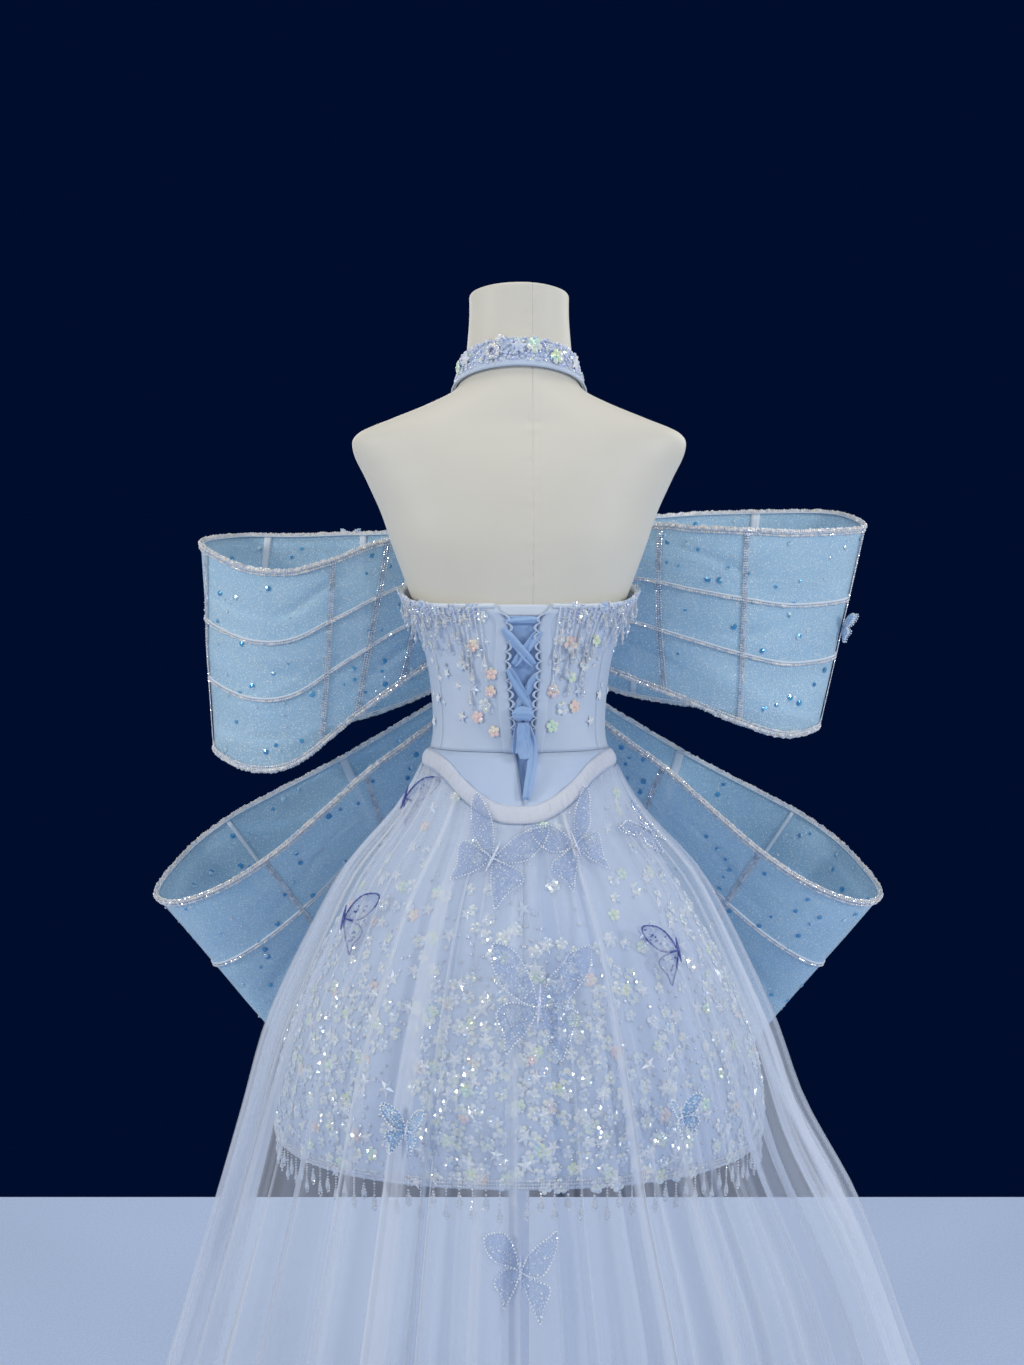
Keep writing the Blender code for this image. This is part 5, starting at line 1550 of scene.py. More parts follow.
@dataclass(eq=False)
class Overskirt:
    """The gathered band and the long sheer skirt that hangs from it."""

    wrap: float = 106.0
    band_height: float = 0.018
    band_out: float = 0.0034
    tulle_out: float = 0.0036
    spread_at: float = 0.14
    count: int = 28
    at_band: float = 0.0010
    at_hem: float = 0.022
    hem: float = 0.004
    seam_near: float = -8.0
    columns: int = 20
    thin: float = 0.25
    thin_far: float = 0.18
    folds: tuple[Fold, ...] = field(init=False)

    def __post_init__(self) -> None:
        """Draw the folds' widths, depths and ridges."""
        rolls = random.Random(11)
        widths = [rolls.uniform(0.6, 1.5) for _ in range(self.count)]
        scale = 2 * self.wrap / sum(widths)
        folds, start = [], -self.wrap
        for width in widths:
            ridges = tuple(Ridge(rolls.uniform(0.1, 0.9), rolls.uniform(0.03, 0.08),
                                 rolls.uniform(0.001, 0.0065), rolls.uniform(-0.06, 0.06),
                                 rolls.uniform(-0.25, 0.5)) for _ in range(3))
            first = rolls.uniform(0.05, 0.55)
            doubled = (first, first + rolls.uniform(0.15, 0.40), rolls.uniform(0.0, 0.34),
                       rolls.uniform(-0.2, 0.3))
            folds.append(Fold(start, start + width * scale, rolls.uniform(0.4, 1.3), ridges, doubled))
            start = folds[-1].end
        self.folds = tuple(folds)

    def fold_at(self, turn: float) -> Fold:
        """The fold at a turn."""
        return next((fold for fold in self.folds if turn <= fold.end), self.folds[-1])

    @lru_cache(maxsize=None)
    def point(self, turn: float, down: float, out: float = 0.0) -> Vector:
        """A point on the overskirt, from the band at 0 to the hem at 1."""
        fold = self.fold_at(turn)
        part = (turn - fold.start) / (fold.end - fold.start)
        top = between(BAND_TOP, around(turn), 1) - self.band_height - 0.0012
        height = top + (self.hem - top) * down
        swing = self.at_band + (self.at_hem - self.at_band) * down
        depth = fold.depth * math.sin(math.tau * part) * swing
        held_in = math.sin(math.pi * max(0.0, min(1.0, part))) ** 0.3
        depth += sum(ridge.rise(part, down) for ridge in fold.ridges) * held_in + 0.0008 + out
        held = SKIRT.point(turn, height, self.tulle_out + depth)
        free = SPREAD.point(turn, height, depth)
        return held.lerp(free, ease(-0.02, self.spread_at, down)) if down > 0 else held

    def cover(self, turn: float, down: float) -> float:
        """How much one face of the tulle hides: more where it turns edge-on, and where it is gathered."""
        low, high = max(0.0, down - 0.01), min(1.0, down + 0.01)
        along = self.point(min(self.wrap, turn + 0.2), down) - self.point(max(-self.wrap, turn - 0.2), down)
        facing = along.cross(self.point(turn, high) - self.point(turn, low)).normalized()
        plain = self.thin + (self.thin_far - self.thin) * ease(60, 100, around(turn))
        plain += 0.12 * (1 - ease(0, 0.12, down))
        fold = self.fold_at(turn)
        part = (turn - fold.start) / (fold.end - fold.start)
        plain += 35 * max(ridge.rise(part, down) for ridge in fold.ridges) + fold.doubling(part, down)
        plain *= 1 - 0.7 * math.exp(-((turn - self.seam_near) / 2.6) ** 2)
        hidden = 1 - (1 - plain) ** (1 / max(0.16, abs(facing.dot(facing_out(turn)))))
        return 1 - math.sqrt(1 - hidden)

    def band_point(self, turn: float, down: float) -> Vector:
        """A point on the band, with its uneven gathers."""
        height = between(BAND_TOP, around(turn), 1) - self.band_height * down
        wave = (noise.noise(Vector((turn * 0.55, down * 1.1, 5.0)))
                + 0.6 * noise.noise(Vector((turn * 1.4, down, 9.0))))
        roll = math.sin(math.pi * down) ** 0.6
        return SKIRT.point(turn, height, 0.0016 + (self.band_out - 0.0004 + 0.0016 * wave) * roll)

    def build(self) -> None:
        """Make the band and both halves."""
        band = Cloth(Look.BAND, "band_tulle", 0.0022, "gathered", ("skirt_front_panel",))
        band.piece("overskirt_waistband",
                   Sheet(steps(-self.wrap, self.wrap, 420), steps(0.0, 1.0, 8), self.band_point),
                   ("overskirt_band",))
        seam = min((fold.start for fold in self.folds), key=lambda start: abs(start - self.seam_near))
        tulle = Cloth(Look.TULLE, "tulle", 0.0007, "gathered", ("overskirt_waistband",))
        rows = [0.0] + [0.02 + 0.98 * part ** 1.15 for part in steps(0, 1, 38)]
        for name, chosen in (("left", [fold for fold in self.folds if fold.start >= seam]),
                             ("right", [fold for fold in self.folds if fold.start < seam])):
            turns = [fold.start + (fold.end - fold.start) * index / self.columns
                     for fold in chosen for index in range(self.columns)] + [chosen[-1].end]
            tulle.piece(f"overskirt_{name}_tulle", Sheet(turns, rows, self.point, self.cover),
                        (f"overskirt_{name}",))


@dataclass(frozen=True, eq=False)
class BowLoop:
    """One loop of the bow: its side (+1 left, -1 right), stations, piped lines, cross tapes and creases."""

    name: str
    side: float
    stations: tuple
    lines: tuple[float, ...]
    tapes: tuple[Point2, ...]
    creases: tuple[Crease, ...]
    seed: int
    piping: float = 0.0034
    tape_width: float = 0.0085

    @lru_cache(maxsize=None)
    def edges(self, part: float) -> tuple[Vector, Vector]:
        """The upper and the lower edge at a place along the loop."""
        last = len(self.stations) - 1
        rows = tuple((index / last, *station) for index, station in enumerate(self.stations))
        reads = [between(rows, part, column) for column in range(1, 7)]
        return (Vector((reads[0] * self.side, *reads[1:3])), Vector((reads[3] * self.side, *reads[4:])))

    def frame(self, part: float, down: float) -> tuple[Vector, Vector]:
        """A point on the plain loop and the outward direction there."""
        return self._frame(round(part, 6), round(down, 6))

    @lru_cache(maxsize=None)
    def _frame(self, part: float, down: float) -> tuple[Vector, Vector]:
        """The same, kept for the places that many pieces share."""
        step = 0.004
        top, low = self.edges(part)
        after, before = self.edges(min(1.0, part + step)), self.edges(max(0.0, part - step))
        along = after[0].lerp(after[1], down) - before[0].lerp(before[1], down)
        return top.lerp(low, down), along.cross(low - top).normalized() * self.side

    def surface(self, part: float, down: float, out: float = 0.0) -> Vector:
        """A point on the loop's cloth, with its creases and the gathers at its root, moved out."""
        point, outward = self.frame(part, down)
        above = max(line for line in self.lines if line <= down) if down < 1 else self.lines[-2]
        below = min(line for line in self.lines if line > above)
        swell = math.sin(math.pi * (down - above) / (below - above)) ** 2
        bulge = swell * (0.0036 * noise.noise(Vector((part * 8, above * 9, self.seed)))
                         - dips(self.creases, (part, down)))
        root = 1 - ease(0.015, 0.13, min(part, 1 - part))
        gathers = 0.0032 * root * math.sin(math.tau * (4.5 * down + 0.2 * self.seed))
        return point + outward * (bulge + gathers + out)

    def cover(self, part: float, down: float) -> float:
        """How much one face of the organza hides, with long soft streaks where it is pulled and folded."""
        slant = part * 3.0 + down * 1.1
        streak = 1 - abs(noise.noise(Vector((slant, down * 5.5 - part * 2.0, self.seed * 3.1)))) * 3.2
        cloud = noise.noise(Vector((part * 7, down * 2.5, self.seed * 1.7)))
        return 0.55 + 0.22 * max(0.0, streak) ** 2 + 0.12 * cloud

    def tall(self) -> float:
        """The ribbon's width in the middle of the loop."""
        top, low = self.edges(0.5)
        return (low - top).length

    def length(self) -> float:
        """The length of the loop's ribbon."""
        return sum((self.surface(b, 0.5) - self.surface(a, 0.5)).length
                   for a, b in zip(steps(0, 1, 60), steps(0, 1, 60)[1:]))

    def build(self) -> None:
        """Make the cloth, the bones and bindings inside it, the beaded tapes and the sequins."""
        cloth = Cloth(Look.ORGANZA, "glitter_organza", 0.0010, "stretched", ("bow_knot_wrap",))
        sheet = Sheet(steps(0.0, 1.0, 150), steps(0.0, 1.0, 48), self.surface, self.cover)
        cloth.piece(f"{self.name}_organza", sheet, (self.name,))
        self._pipings()
        self._tapes()
        self._edges()
        self._sequins()

    def _piped(self, label: str, down: float, radius: float, out: float, look: Look) -> None:
        """A round piping along the loop at one place down it."""
        middle = radius / self.tall()

        def place(angle: float, part: float) -> Vector:
            """A point on the piping."""
            return self.surface(part, min(1.0, max(0.0, down + middle * math.cos(angle))),
                                out + radius * math.sin(angle))

        satin = Cloth(look, "bead_work", 0.0004, "stretched", (f"{self.name}_organza",))
        satin.piece(f"{self.name}_{label}", Sheet(steps(0, math.tau, 8), steps(0.05, 0.95, 110), place))

    def _pipings(self) -> None:
        """The white pipings along the lines, inside and out, with an uneven row of beads under each."""
        beads = Threads()
        for index, line in enumerate(self.lines):
            self._piped(f"piping_{index + 1}", line, 0.0014, 0.0010, Look.WHITE_SATIN)
            self._piped(f"bone_{index + 1}", line, 0.0014, -0.0014, Look.WHITE_SATIN)
            down = line - self.piping / self.tall() if line == 1.0 else line + self.piping / self.tall()
            self._add_row(beads, [(part, down) for part in steps(0.08, 0.92, 140)], 0.0020)
        Trim(Gem.STONE, Look.CREAM, Layout.ROWS, 0.0012, 0.0021, 0.0031, seed=61).sew(
            f"{self.name}_line_beads", beads.mesh("beads"))

    def _tapes(self) -> None:
        """The cross tapes: a white channel inside and rows of bright stones outside, leaning as they do."""
        strips, stones = [], Threads()
        half = self.tape_width / 2 / self.length()
        for top, low in self.tapes:
            def inside(aside: float, down: float, top: float = top, low: float = low) -> Vector:
                """A point on the tape's channel."""
                return self.surface(top + (low - top) * down + aside, down, -0.0014)

            strips.append(Sheet(steps(-half, half, 3), steps(0.0, 1.0, 24), inside))
            for aside in (-0.62, 0.0, 0.62):
                places = [(top + (low - top) * down + aside * half, down)
                          for down in steps(0.02, 0.98, 60)]
                self._add_row(stones, places, 0.0022)
        channel = Cloth(Look.WHITE_SATIN, "bead_work", 0.0007, "stretched", (f"{self.name}_organza",))
        channel.piece(f"{self.name}_tapes", strips, (f"{self.name}_tape",))
        Trim(Gem.STONE, Look.SILVER, Layout.ROWS, 0.0012, 0.0014, 0.0031, seed=60).sew(
            f"{self.name}_tape_stones", stones.mesh("stones"))

    def _edges(self) -> None:
        """The clusters of beads along the two outer edges."""
        clusters = Threads()
        for down, away in ((0.0, -1.0), (1.0, 1.0)):
            for off, out in ((0.0016, 0.0026), (0.0034, 0.0006), (0.0016, -0.0026)):
                line, facing = [], []
                for part in steps(0.05, 0.95, 150):
                    top, low = self.edges(part)
                    outward = self.frame(part, down)[1]
                    line.append(self.surface(part, down, out) + (low - top).normalized() * (away * off))
                    facing.append(outward)
                clusters.line(line, facing)
        Trim(Gem.STONE, Look.CREAM, Layout.ROWS, 0.0012, 0.0027, 0.0034, seed=63).sew(
            f"{self.name}_edge_beads", clusters.mesh("clusters"))

    def _sequins(self) -> None:
        """The turquoise sequins and clear crystals scattered over both faces."""
        for label, out in (("outside", 0.0015), ("inside", -0.0015)):
            face = Sheet(steps(0.06, 0.94, 70), steps(0.03, 0.97, 14),
                         lambda part, down, o=out: self.surface(part, down, o))
            bed = patch(face, "sequin_bed", self.strewn)
            strew(Gem.SEQUIN, Look.AQUA, 0.0020, 0.0042, 0.012, 2200.0, 40 + self.seed).sew(
                f"{self.name}_sequins_{label}", bed.copy(), "glitter_organza")
            strew(Gem.STONE, Look.CLEAR, 0.0009, 0.0019, 0.011, 1500.0, 50 + self.seed).sew(
                f"{self.name}_crystals_{label}", bed, "glitter_organza")

    def strewn(self, part: float, down: float) -> float:
        """How thickly sequins lie at a place: in clusters, and thicker near the bow's middle."""
        cluster = ease(0.0, 0.35, noise.noise(Vector((part * 14, down * 4, self.seed * 2.3))))
        return 0.15 + 0.85 * cluster * (1 - 0.5 * ease(0.2, 0.45, min(part, 1 - part)))

    def _add_row(self, rows: Threads, places: list[Point2], out: float) -> None:
        """Add one row of beads, this far out from the loop."""
        rows.line([self.surface(part, down, out) for part, down in places],
                  [self.frame(part, down)[1] for part, down in places])


@dataclass
class Bow:
    """The giant bow: four loops and the knot that holds them."""

    knot_size: tuple[float, float, float] = (0.075, 0.075, 0.120)
    knot_level: float = 1.145
    upper_lines: tuple[float, ...] = (0.0, 0.35, 0.64, 1.0)
    lower_lines: tuple[float, ...] = (0.0, 0.40, 1.0)
    loops: tuple[BowLoop, ...] = field(init=False)

    def __post_init__(self) -> None:
        """Lay out the loops with their creases."""
        upper = creased(
            (0.22, 0.10, 0.36, 0.24, 0.018, 0.0035), (0.40, 0.45, 0.30, 0.60, 0.016, 0.003),
            (0.64, 0.12, 0.72, 0.30, 0.020, 0.004), (0.58, 0.75, 0.70, 0.90, 0.020, 0.0035),
            (0.12, 0.70, 0.24, 0.84, 0.018, 0.0035), (0.80, 0.45, 0.88, 0.60, 0.016, 0.003))
        lower = creased(
            (0.20, 0.15, 0.34, 0.30, 0.020, 0.004), (0.30, 0.52, 0.42, 0.66, 0.018, 0.003),
            (0.60, 0.20, 0.72, 0.34, 0.020, 0.004), (0.74, 0.52, 0.86, 0.62, 0.018, 0.0035),
            (0.14, 0.80, 0.28, 0.92, 0.020, 0.003))
        upper_left = ((0.122, 0.203), (0.180, 0.250), (0.244, 0.297), (0.476, 0.506), (0.628, 0.590),
                      (0.756, 0.740))
        upper_right = ((0.190, 0.232), (0.334, 0.341), (0.500, 0.505), (0.662, 0.662), (0.80, 0.80))
        lower_left = ((0.163, 0.150), (0.319, 0.302), (0.690, 0.740), (0.844, 0.865))
        lower_right = ((0.150, 0.125), (0.301, 0.293), (0.722, 0.770), (0.856, 0.860))
        self.loops = (
            BowLoop("bow_upper_left", 1.0, UPPER_LEFT, self.upper_lines, upper_left, upper, 1),
            BowLoop("bow_upper_right", -1.0, UPPER_RIGHT, self.upper_lines, upper_right, upper, 2),
            BowLoop("bow_lower_left", 1.0, LOWER, self.lower_lines, lower_left, lower, 3),
            BowLoop("bow_lower_right", -1.0, LOWER, self.lower_lines, lower_right, lower, 4))

    def build(self) -> None:
        """Make the knot and the loops."""
        low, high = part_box("bow_knot")
        middle = (low + high) / 2
        wide, deep, tall = self.knot_size

        def place(angle: float, across: float) -> Vector:
            """A point on the wrap that holds the loops, round an axis from side to side."""
            back = math.copysign(abs(math.cos(angle)) ** 0.5, math.cos(angle))
            rise = math.copysign(abs(math.sin(angle)) ** 0.5, math.sin(angle))
            pleat = 1 - 0.045 * (0.5 + 0.5 * math.sin(across * 15 + 0.6 * math.sin(angle * 2)))
            waist = 1 - 0.06 * (1 - across ** 2)
            closed = 1 - 0.92 * ease(0.90, 1.0, abs(across))
            return middle + Vector((wide / 2 * across * 0.995, deep / 2 * back * pleat * waist * closed,
                                    tall / 2 * rise * pleat * waist * closed))

        sides = [-1.0, -0.985, *steps(-0.95, 0.95, 38), 0.985, 1.0]
        knot = Cloth(Look.KNOT, "glitter_organza", 0.0010, "folded", ("bodice_front_panel",))
        knot.piece("bow_knot_wrap", Sheet(steps(0, math.tau, 64), sides, place), ("bow_knot",))
        for loop in self.loops:
            loop.build()


FORE_WING = ((0.04, 0.10), (0.20, 0.50), (0.46, 0.84), (0.80, 1.0), (1.0, 0.98), (0.97, 0.70), (0.80, 0.42),
             (0.62, 0.20), (0.36, 0.06), (0.05, 0.02))
HIND_WING = ((0.04, 0.0), (0.36, 0.0), (0.62, -0.06), (0.72, -0.22), (0.62, -0.44), (0.52, -0.60),
             (0.46, -0.94), (0.34, -0.74), (0.22, -0.55), (0.08, -0.22))


@dataclass(frozen=True)
class Perch:
    """A butterfly: its name, half span, seat, wing finish, how far its wings lift, and what it stands for.

    The seat is the way from flat places to the carrier.  A spotted butterfly is seen from the side: it
    has only the wings of one side, with a dark outline and dark spots.
    """

    name: str
    size: float
    seat: Seat
    wing: Look
    rise: float
    replaces: tuple[str, ...] = ()
    lean: float = 0.0
    spotted: bool = False
    flip: float = 1.0

    def settled(self, x: float, y: float, out: float = 0.0) -> Vector:
        """A place on the wings, leaned and carried to the seat."""
        turned = Matrix.Rotation(self.lean, 2) @ Vector((x * self.flip, y))
        raised = abs(x) * self.rise - 0.10 * self.rise * x * x
        return self.seat(turned.x * self.size, turned.y * self.size, raised * self.size + out)


@dataclass
class Butterflies:
    """The butterflies: raised organza ones, and flat ones sewn to the tulle."""

    overskirt: Overskirt
    bow: Bow
    sparks_a_wing: int = 9
    wing_wall: float = 0.0006

    def smooth(self, outline: tuple[Point2, ...], count: int) -> list[Point2]:
        """A rounded closed outline through a few points."""
        made = []
        total = len(outline)
        for index in range(count):
            place = index * total / count
            first = int(place)
            part = place - first
            four = [Vector(outline[(first + step) % total]) for step in (-1, 0, 1, 2)]
            point = 0.5 * (2 * four[1] + (four[2] - four[0]) * part
                           + (2 * four[0] - 5 * four[1] + 4 * four[2] - four[3]) * part ** 2
                           + (3 * four[1] - four[0] - 3 * four[2] + four[3]) * part ** 3)
            made.append((point.x, point.y))
        return made

    def build_one(self, perch: Perch) -> None:
        """One butterfly: its wings of cloth, a beaded outline, sparks or spots inside it, and a body."""
        form = bmesh.new()
        rims, inside, body = Threads(), Threads(), Threads()
        rolls = random.Random(round(perch.size * 1e5) + round(perch.lean * 100))
        ahead = (perch.settled(0, 0, 0.01) - perch.settled(0, 0)).normalized()
        for side in ((1.0,) if perch.spotted else (1.0, -1.0)):
            for outline in (FORE_WING, HIND_WING):
                rim = [(x * side, y) for x, y in self.smooth(outline, 28)]
                middle = (sum(x for x, _ in rim) / len(rim), sum(y for _, y in rim) / len(rim))

                def inner(x: float, y: float, share: float, out: float = 0.0) -> Vector:
                    """A place this share of the way from the wing's middle to its rim."""
                    return perch.settled(middle[0] + (x - middle[0]) * share,
                                         middle[1] + (y - middle[1]) * share, out)

                rings = [[form.verts.new(inner(x, y, share)) for x, y in rim]
                         for share in (1.0, 0.66, 0.33)]
                heart = form.verts.new(perch.settled(*middle))
                skin(form, rings)
                fan(form, rings[-1], heart)
                edge = [perch.settled(x, y, 0.0012) for x, y in [*rim, rim[0]]]
                rims.line(edge, [ahead] * len(edge))
                for _ in range(self.sparks_a_wing):
                    x, y = rolls.choice(rim)
                    inside.spot(inner(x, y, rolls.uniform(0.15, 0.85), 0.0011), ahead,
                                rolls.uniform(-0.4, 0.6))
        self._wings(perch, smooth_mesh(form, perch.name))
        line = [perch.settled(0.0, place, 0.0018) for place in steps(-0.34, 0.40, 10)]
        body.line(line, [ahead] * len(line))
        body.grown = [1.5 * math.sin(math.pi * place) - 0.3 for place in steps(0.05, 0.95, 10)]
        self._beads(perch, rims, inside, body)

    @staticmethod
    def _beads(perch: Perch, rims: Threads, inside: Threads, body: Threads) -> None:
        """The beads of the outline, of the sparks or spots inside it and of the body."""
        thread, beads, apart, small, large = (
            (Look.EDGE_THREAD, Look.EDGE_THREAD, 0.0016, 0.0009, 0.0013) if perch.spotted
            else (Look.WHITE_STAR, Look.PEARL, 0.0033, 0.0006, 0.0009))
        for label, threads, trim in (
                ("outline", rims, Trim(Gem.BALL, thread, Layout.ROWS, 0.0008, 0.0013, apart, seed=71)),
                ("sparks", inside, Trim(Gem.BALL, thread, Layout.SPOTS, small, large, seed=72)),
                ("body", body, Trim(Gem.ROUND, beads, Layout.ROWS, 0.0007, 0.0008, 0.0011, seed=73))):
            trim.sew(f"{perch.name}_{label}", threads.mesh(label))

    def _wings(self, perch: Perch, mesh: bpy.types.Mesh) -> None:
        """The wings' cloth as a piece of its own."""
        layer = mesh.uv_layers.new(name="cloth")
        for index, loop in enumerate(mesh.loops):
            place = mesh.vertices[loop.vertex_index].co
            layer.data[index].uv = (place.x, place.z)
        wings = add_object(f"{perch.name}_wings", mesh, perch.wing)
        thicken(wings, self.wing_wall)
        join_part(wings, "glitter_organza", perch.replaces)
        wide = max(LEAST_SIDE, (1.0 if perch.spotted else 2.0) * perch.size)
        tall = max(LEAST_SIDE, 2.0 * perch.size)
        area = stated_area(wide, tall, sum(polygon.area for polygon in mesh.polygons))

    def on_tulle(self, turn: float, down: float, out: float) -> Seat:
        """A flat seat that follows the tulle round a place on it."""
        middle = self.overskirt.point(turn, down)
        wide = (self.overskirt.point(turn + 4, down) - self.overskirt.point(turn - 4, down)).length / 8
        tall = (self.overskirt.point(turn, down + 0.01) - middle).length / 0.01

        def seat(x: float, y: float, rise: float) -> Vector:
            """A place near the seat, out from the tulle."""
            return self.overskirt.point(turn + x / wide, down - y / tall, out + rise)

        return seat

    def on_loop(self, loop: BowLoop, part: float, down: float, way: float = 1.0) -> Seat:
        """A rigid seat on a bow loop, outside it or, with way below nothing, inside it."""
        outward = loop.frame(part, down)[1]
        return self.raised(loop.surface(part, down, 0.002 * way), outward * way, 0.0)

    def on_fold(self, turn: float, down: float, out: float) -> Seat:
        """A rigid seat on the crest of the overskirt's fold that is nearest to a turn."""
        fold = min(self.overskirt.folds,
                   key=lambda each: abs(each.start + (each.end - each.start) / 4 - turn))
        crest = fold.start + (fold.end - fold.start) / 4
        middle = self.overskirt.point(crest, down)
        fall = (self.overskirt.point(crest, down + 0.05) - middle).normalized()
        outward = Vector((middle.x, middle.y, 0.0)).normalized()
        return self.raised(middle, (outward - fall * outward.dot(fall)).normalized(), out)

    def turned_back(self, turn: float, down: float) -> Seat:
        """A rigid seat on the tulle, turned half towards the back as a side-view butterfly is sewn."""
        middle = self.overskirt.point(turn, down, 0.0035)
        outward = Vector((middle.x, middle.y, 0.0)).normalized() + Vector((0.0, 1.6, 0.25))
        return self.raised(middle, outward.normalized(), 0.0)

    @staticmethod
    def raised(middle: Vector, outward: Vector, out: float) -> Seat:
        """A rigid seat at a point that faces one way."""
        up = (UP - outward * outward.z).normalized()
        aside = up.cross(outward).normalized()

        def seat(x: float, y: float, rise: float) -> Vector:
            """A place near the seat."""
            return middle + aside * x + up * y + outward * (rise + out)

        return seat

    def build(self) -> None:
        """Make every butterfly."""
        view = PhotoView()
        upper_left, upper_right, lower_left, lower_right = self.bow.loops
        perches = [
            Perch("butterfly_blue_1", 0.024, self.on_fold(26.0, 0.30, 0.0016), Look.WING, 0.75,
                  ("butterfly_1",)),
            Perch("butterfly_blue_2", 0.020, self.on_fold(-27.0, 0.30, 0.0016), Look.WING, 0.75,
                  ("butterfly_2",)),
            Perch("butterfly_bow_1", 0.021, self.on_loop(upper_left, 0.71, 0.17), Look.WING, 0.75,
                  ("butterfly_3",)),
            Perch("butterfly_bow_2", 0.020, self.on_loop(upper_right, 0.50, 0.50), Look.WING, 0.75,
                  ("butterfly_4",)),
            Perch("butterfly_bow_3", 0.014, self.on_loop(upper_left, 0.735, 0.02), Look.WING, 0.6),
            Perch("butterfly_bow_4", 0.014, self.on_loop(upper_right, 0.86, 0.02), Look.WING, 0.6),
            Perch("butterfly_bow_5", 0.020, self.on_loop(lower_left, 0.78, 0.45, -1.0), Look.WING, 0.6),
            Perch("butterfly_bow_6", 0.018, self.on_loop(lower_right, 0.76, 0.35, -1.0), Look.WING, 0.6)]
        for index, (x, y, size, lean, flip, spotted) in enumerate((
                (408, 800, 0.038, -0.3, 1.0, True), (343, 922, 0.038, -0.2, 1.0, True),
                (676, 955, 0.036, 0.2, -1.0, True), (497, 853, 0.054, 0.30, 1.0, False),
                (576, 851, 0.048, -0.10, 1.0, False), (539, 1006, 0.056, 0.12, 1.0, False),
                (646, 830, 0.032, -0.3, 1.0, False), (521, 1266, 0.037, 0.0, 1.0, False))):
            turn, down = view.seat(self.overskirt, x, y)
            seat = self.turned_back(turn, down) if spotted else self.on_tulle(turn, down, 0.0022)
            perches.append(Perch(f"butterfly_sewn_{index + 1}", size, seat, Look.APPLIQUE, 0.03, (), lean,
                                 spotted, flip))
        for perch in perches:
            self.build_one(perch)


@dataclass
class PhotoView:
    """The photograph's camera: where it stands, how far it looks down and how long its lens is."""

    width: int = 1024
    height: int = 1365
    lens: float = 30.0
    sensor: float = 36.0
    place: tuple[float, float, float] = (0.0084, 1.365, 1.178)
    down_degrees: float = 2.14

    def pixel(self, point: Vector) -> Point2:
        """Where a point lies in the photograph."""
        focal = self.lens / self.sensor * self.height
        offset = point - Vector(self.place)
        tilt = math.radians(self.down_degrees)
        ahead = -offset.y * math.cos(tilt) - offset.z * math.sin(tilt)
        rise = offset.z * math.cos(tilt) - offset.y * math.sin(tilt)
        return self.width / 2 - focal * offset.x / ahead, self.height / 2 - focal * rise / ahead

    def seat(self, skirt: Overskirt, x: float, y: float) -> Point2:
        """The turn and the share down of the place on the overskirt that is seen at a pixel."""
        best = None
        for turn in steps(-70, 70, 70):
            for down in steps(0.02, 0.80, 52):
                seen = self.pixel(skirt.point(turn, down))
                apart = math.hypot(seen[0] - x, seen[1] - y)
                if best is None or apart < best[0]:
                    best = (apart, turn, down)
        return best[1], best[2]

    def build(self) -> None:
        """Make the camera."""
        data = bpy.data.cameras.new("photo_camera")
        data.lens = self.lens
        data.sensor_width = self.sensor
        data.clip_start, data.clip_end = 0.05, 50.0
        camera = bpy.data.objects.new("photo_camera", data)
        camera.location = self.place
        camera.rotation_euler = (math.radians(90 - self.down_degrees), 0.0, math.radians(180))
        bpy.context.scene.collection.objects.link(camera)
        bpy.context.scene.camera = camera


@dataclass(frozen=True)
class Lamp:
    """One soft light: where it hangs, how large it is and how bright."""

    name: str
    place: tuple[float, float, float]
    size: float
    power: float
    colour: Colour = (1.0, 1.0, 1.0)

    def hang(self, aim: Vector) -> None:
        """Put the light in the scene, turned towards a point."""
        data = bpy.data.lights.new(self.name, "AREA")
        data.energy, data.size, data.color = self.power, self.size, self.colour
        made = bpy.data.objects.new(self.name, data)
        made.location = self.place
        made.rotation_euler = (aim - made.location).to_track_quat("-Z", "Y").to_euler()
        bpy.context.scene.collection.objects.link(made)


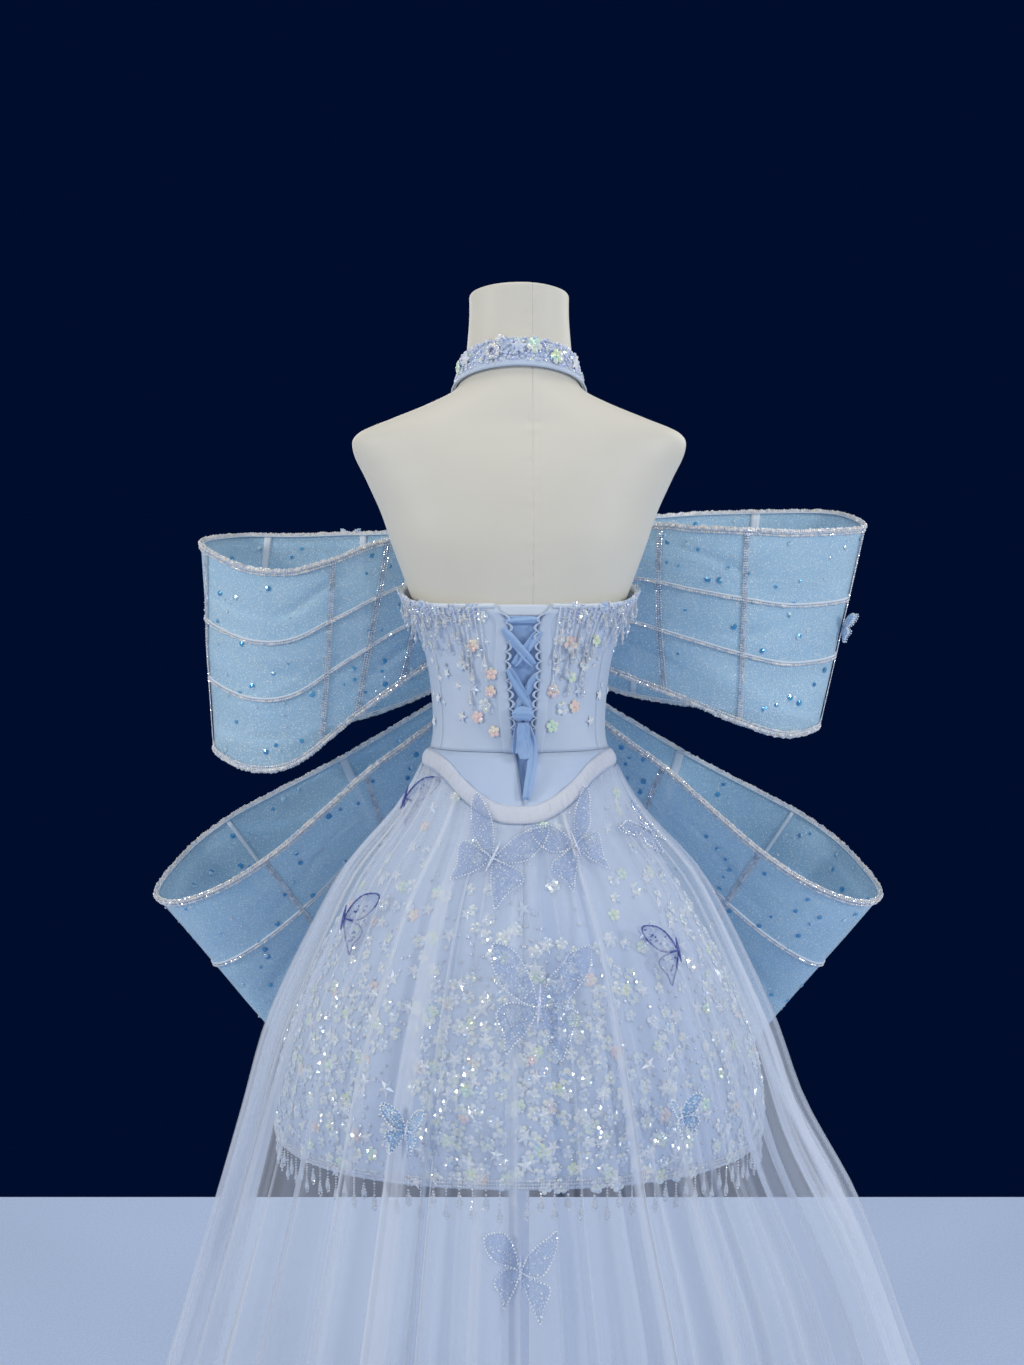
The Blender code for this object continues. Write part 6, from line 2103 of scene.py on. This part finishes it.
@dataclass
class Studio:
    """The plain floor, the dark surroundings and the soft lights."""

    far_edge: float = -1.0
    half: float = 3.2
    surroundings: Colour = (0.0004, 0.0040, 0.0252)
    fill: Colour = (0.94, 0.97, 1.0)
    fill_strength: float = 0.32
    aim_height: float = 1.0
    lamps: tuple[Lamp, ...] = (
        Lamp("key", (2.9, 1.5, 2.0), 0.4, 36.0, (1.0, 0.97, 0.91)),
        Lamp("side", (-2.8, 1.5, 1.9), 0.4, 33.0),
        Lamp("glint_left", (1.1, 2.4, 2.6), 0.1, 2.6),
        Lamp("glint_right", (-1.2, 2.5, 1.5), 0.1, 2.4),
        Lamp("top", (0.0, 0.6, 3.4), 1.4, 14.0),
        Lamp("front", (1.2, -2.8, 2.2), 1.8, 16.0, (0.93, 0.96, 1.0)),
        Lamp("rim", (-2.0, -1.6, 2.4), 1.2, 10.0))

    def build(self) -> None:
        """Make the floor, the lights and the world."""
        self._floor()
        for lamp in self.lamps:
            lamp.hang(Vector((0.0, 0.0, self.aim_height)))
        self._surround()
        scene = bpy.context.scene
        scene.view_settings.view_transform = "Standard"
        scene.cycles.transparent_max_bounces = 24

    def _floor(self) -> None:
        """The plain floor, just under the hem."""
        mesh = bpy.data.meshes.new("floor")
        edges = (-self.half, self.half)
        mesh.from_pydata([(x, y, -0.0002) for y in (self.far_edge, self.half) for x in edges], [],
                         [(0, 1, 3, 2)])
        floor = add_object("floor", mesh)
        mesh.materials.append(FloorFinish("floor", (0.46, 0.58, 0.84), (0.54, 0.66, 0.92), 0.7).material())

    def _surround(self) -> None:
        """The world: dark where it is seen, and a soft pale light on everything else."""
        world = bpy.data.worlds.new("surroundings")
        bpy.context.scene.world = world
        world.use_nodes = True
        maker = NodeMaker(world.node_tree)
        seen = maker.node("ShaderNodeLightPath").outputs["Is Camera Ray"]
        dark = maker.node("ShaderNodeBackground", None,
                          {"Color": (*self.surroundings, 1.0), "Strength": 1.0})
        light = maker.node("ShaderNodeBackground", None,
                           {"Color": (*self.fill, 1.0), "Strength": self.fill_strength})
        either = maker.node("ShaderNodeMixShader", None, {0: seen, 1: light.outputs[0], 2: dark.outputs[0]})
        maker.node("ShaderNodeOutputWorld", None, {0: either.outputs[0]})


def dress_solids(frame: dict) -> None:
    """Give the solids that stay their finish."""
    for name in ("stand_pole", "stand_foot"):
        solid = frame["nodes"][name]
        solid.data.materials.clear()
        solid.data.materials.append(Look.STEEL.material())


def main() -> None:
    """Build the dress, its form and the studio in order."""
    logging.basicConfig(level=logging.INFO, format="%(name)s: %(message)s")
    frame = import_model()
    PhotoView().build()
    Studio().build()
    dress_solids(frame)
    DressForm().build()
    Collar().build()
    Bodice().build()
    Lacing().build()
    ShortSkirt().build()
    overskirt = Overskirt()
    overskirt.build()
    bow = Bow()
    bow.build()
    Butterflies(overskirt, bow).build()
    for gem in Gem:
        template = bpy.data.objects.get(f"template_{gem.value}")
        if template:
            bpy.data.objects.remove(template)


if __name__ == "__main__":
    main()
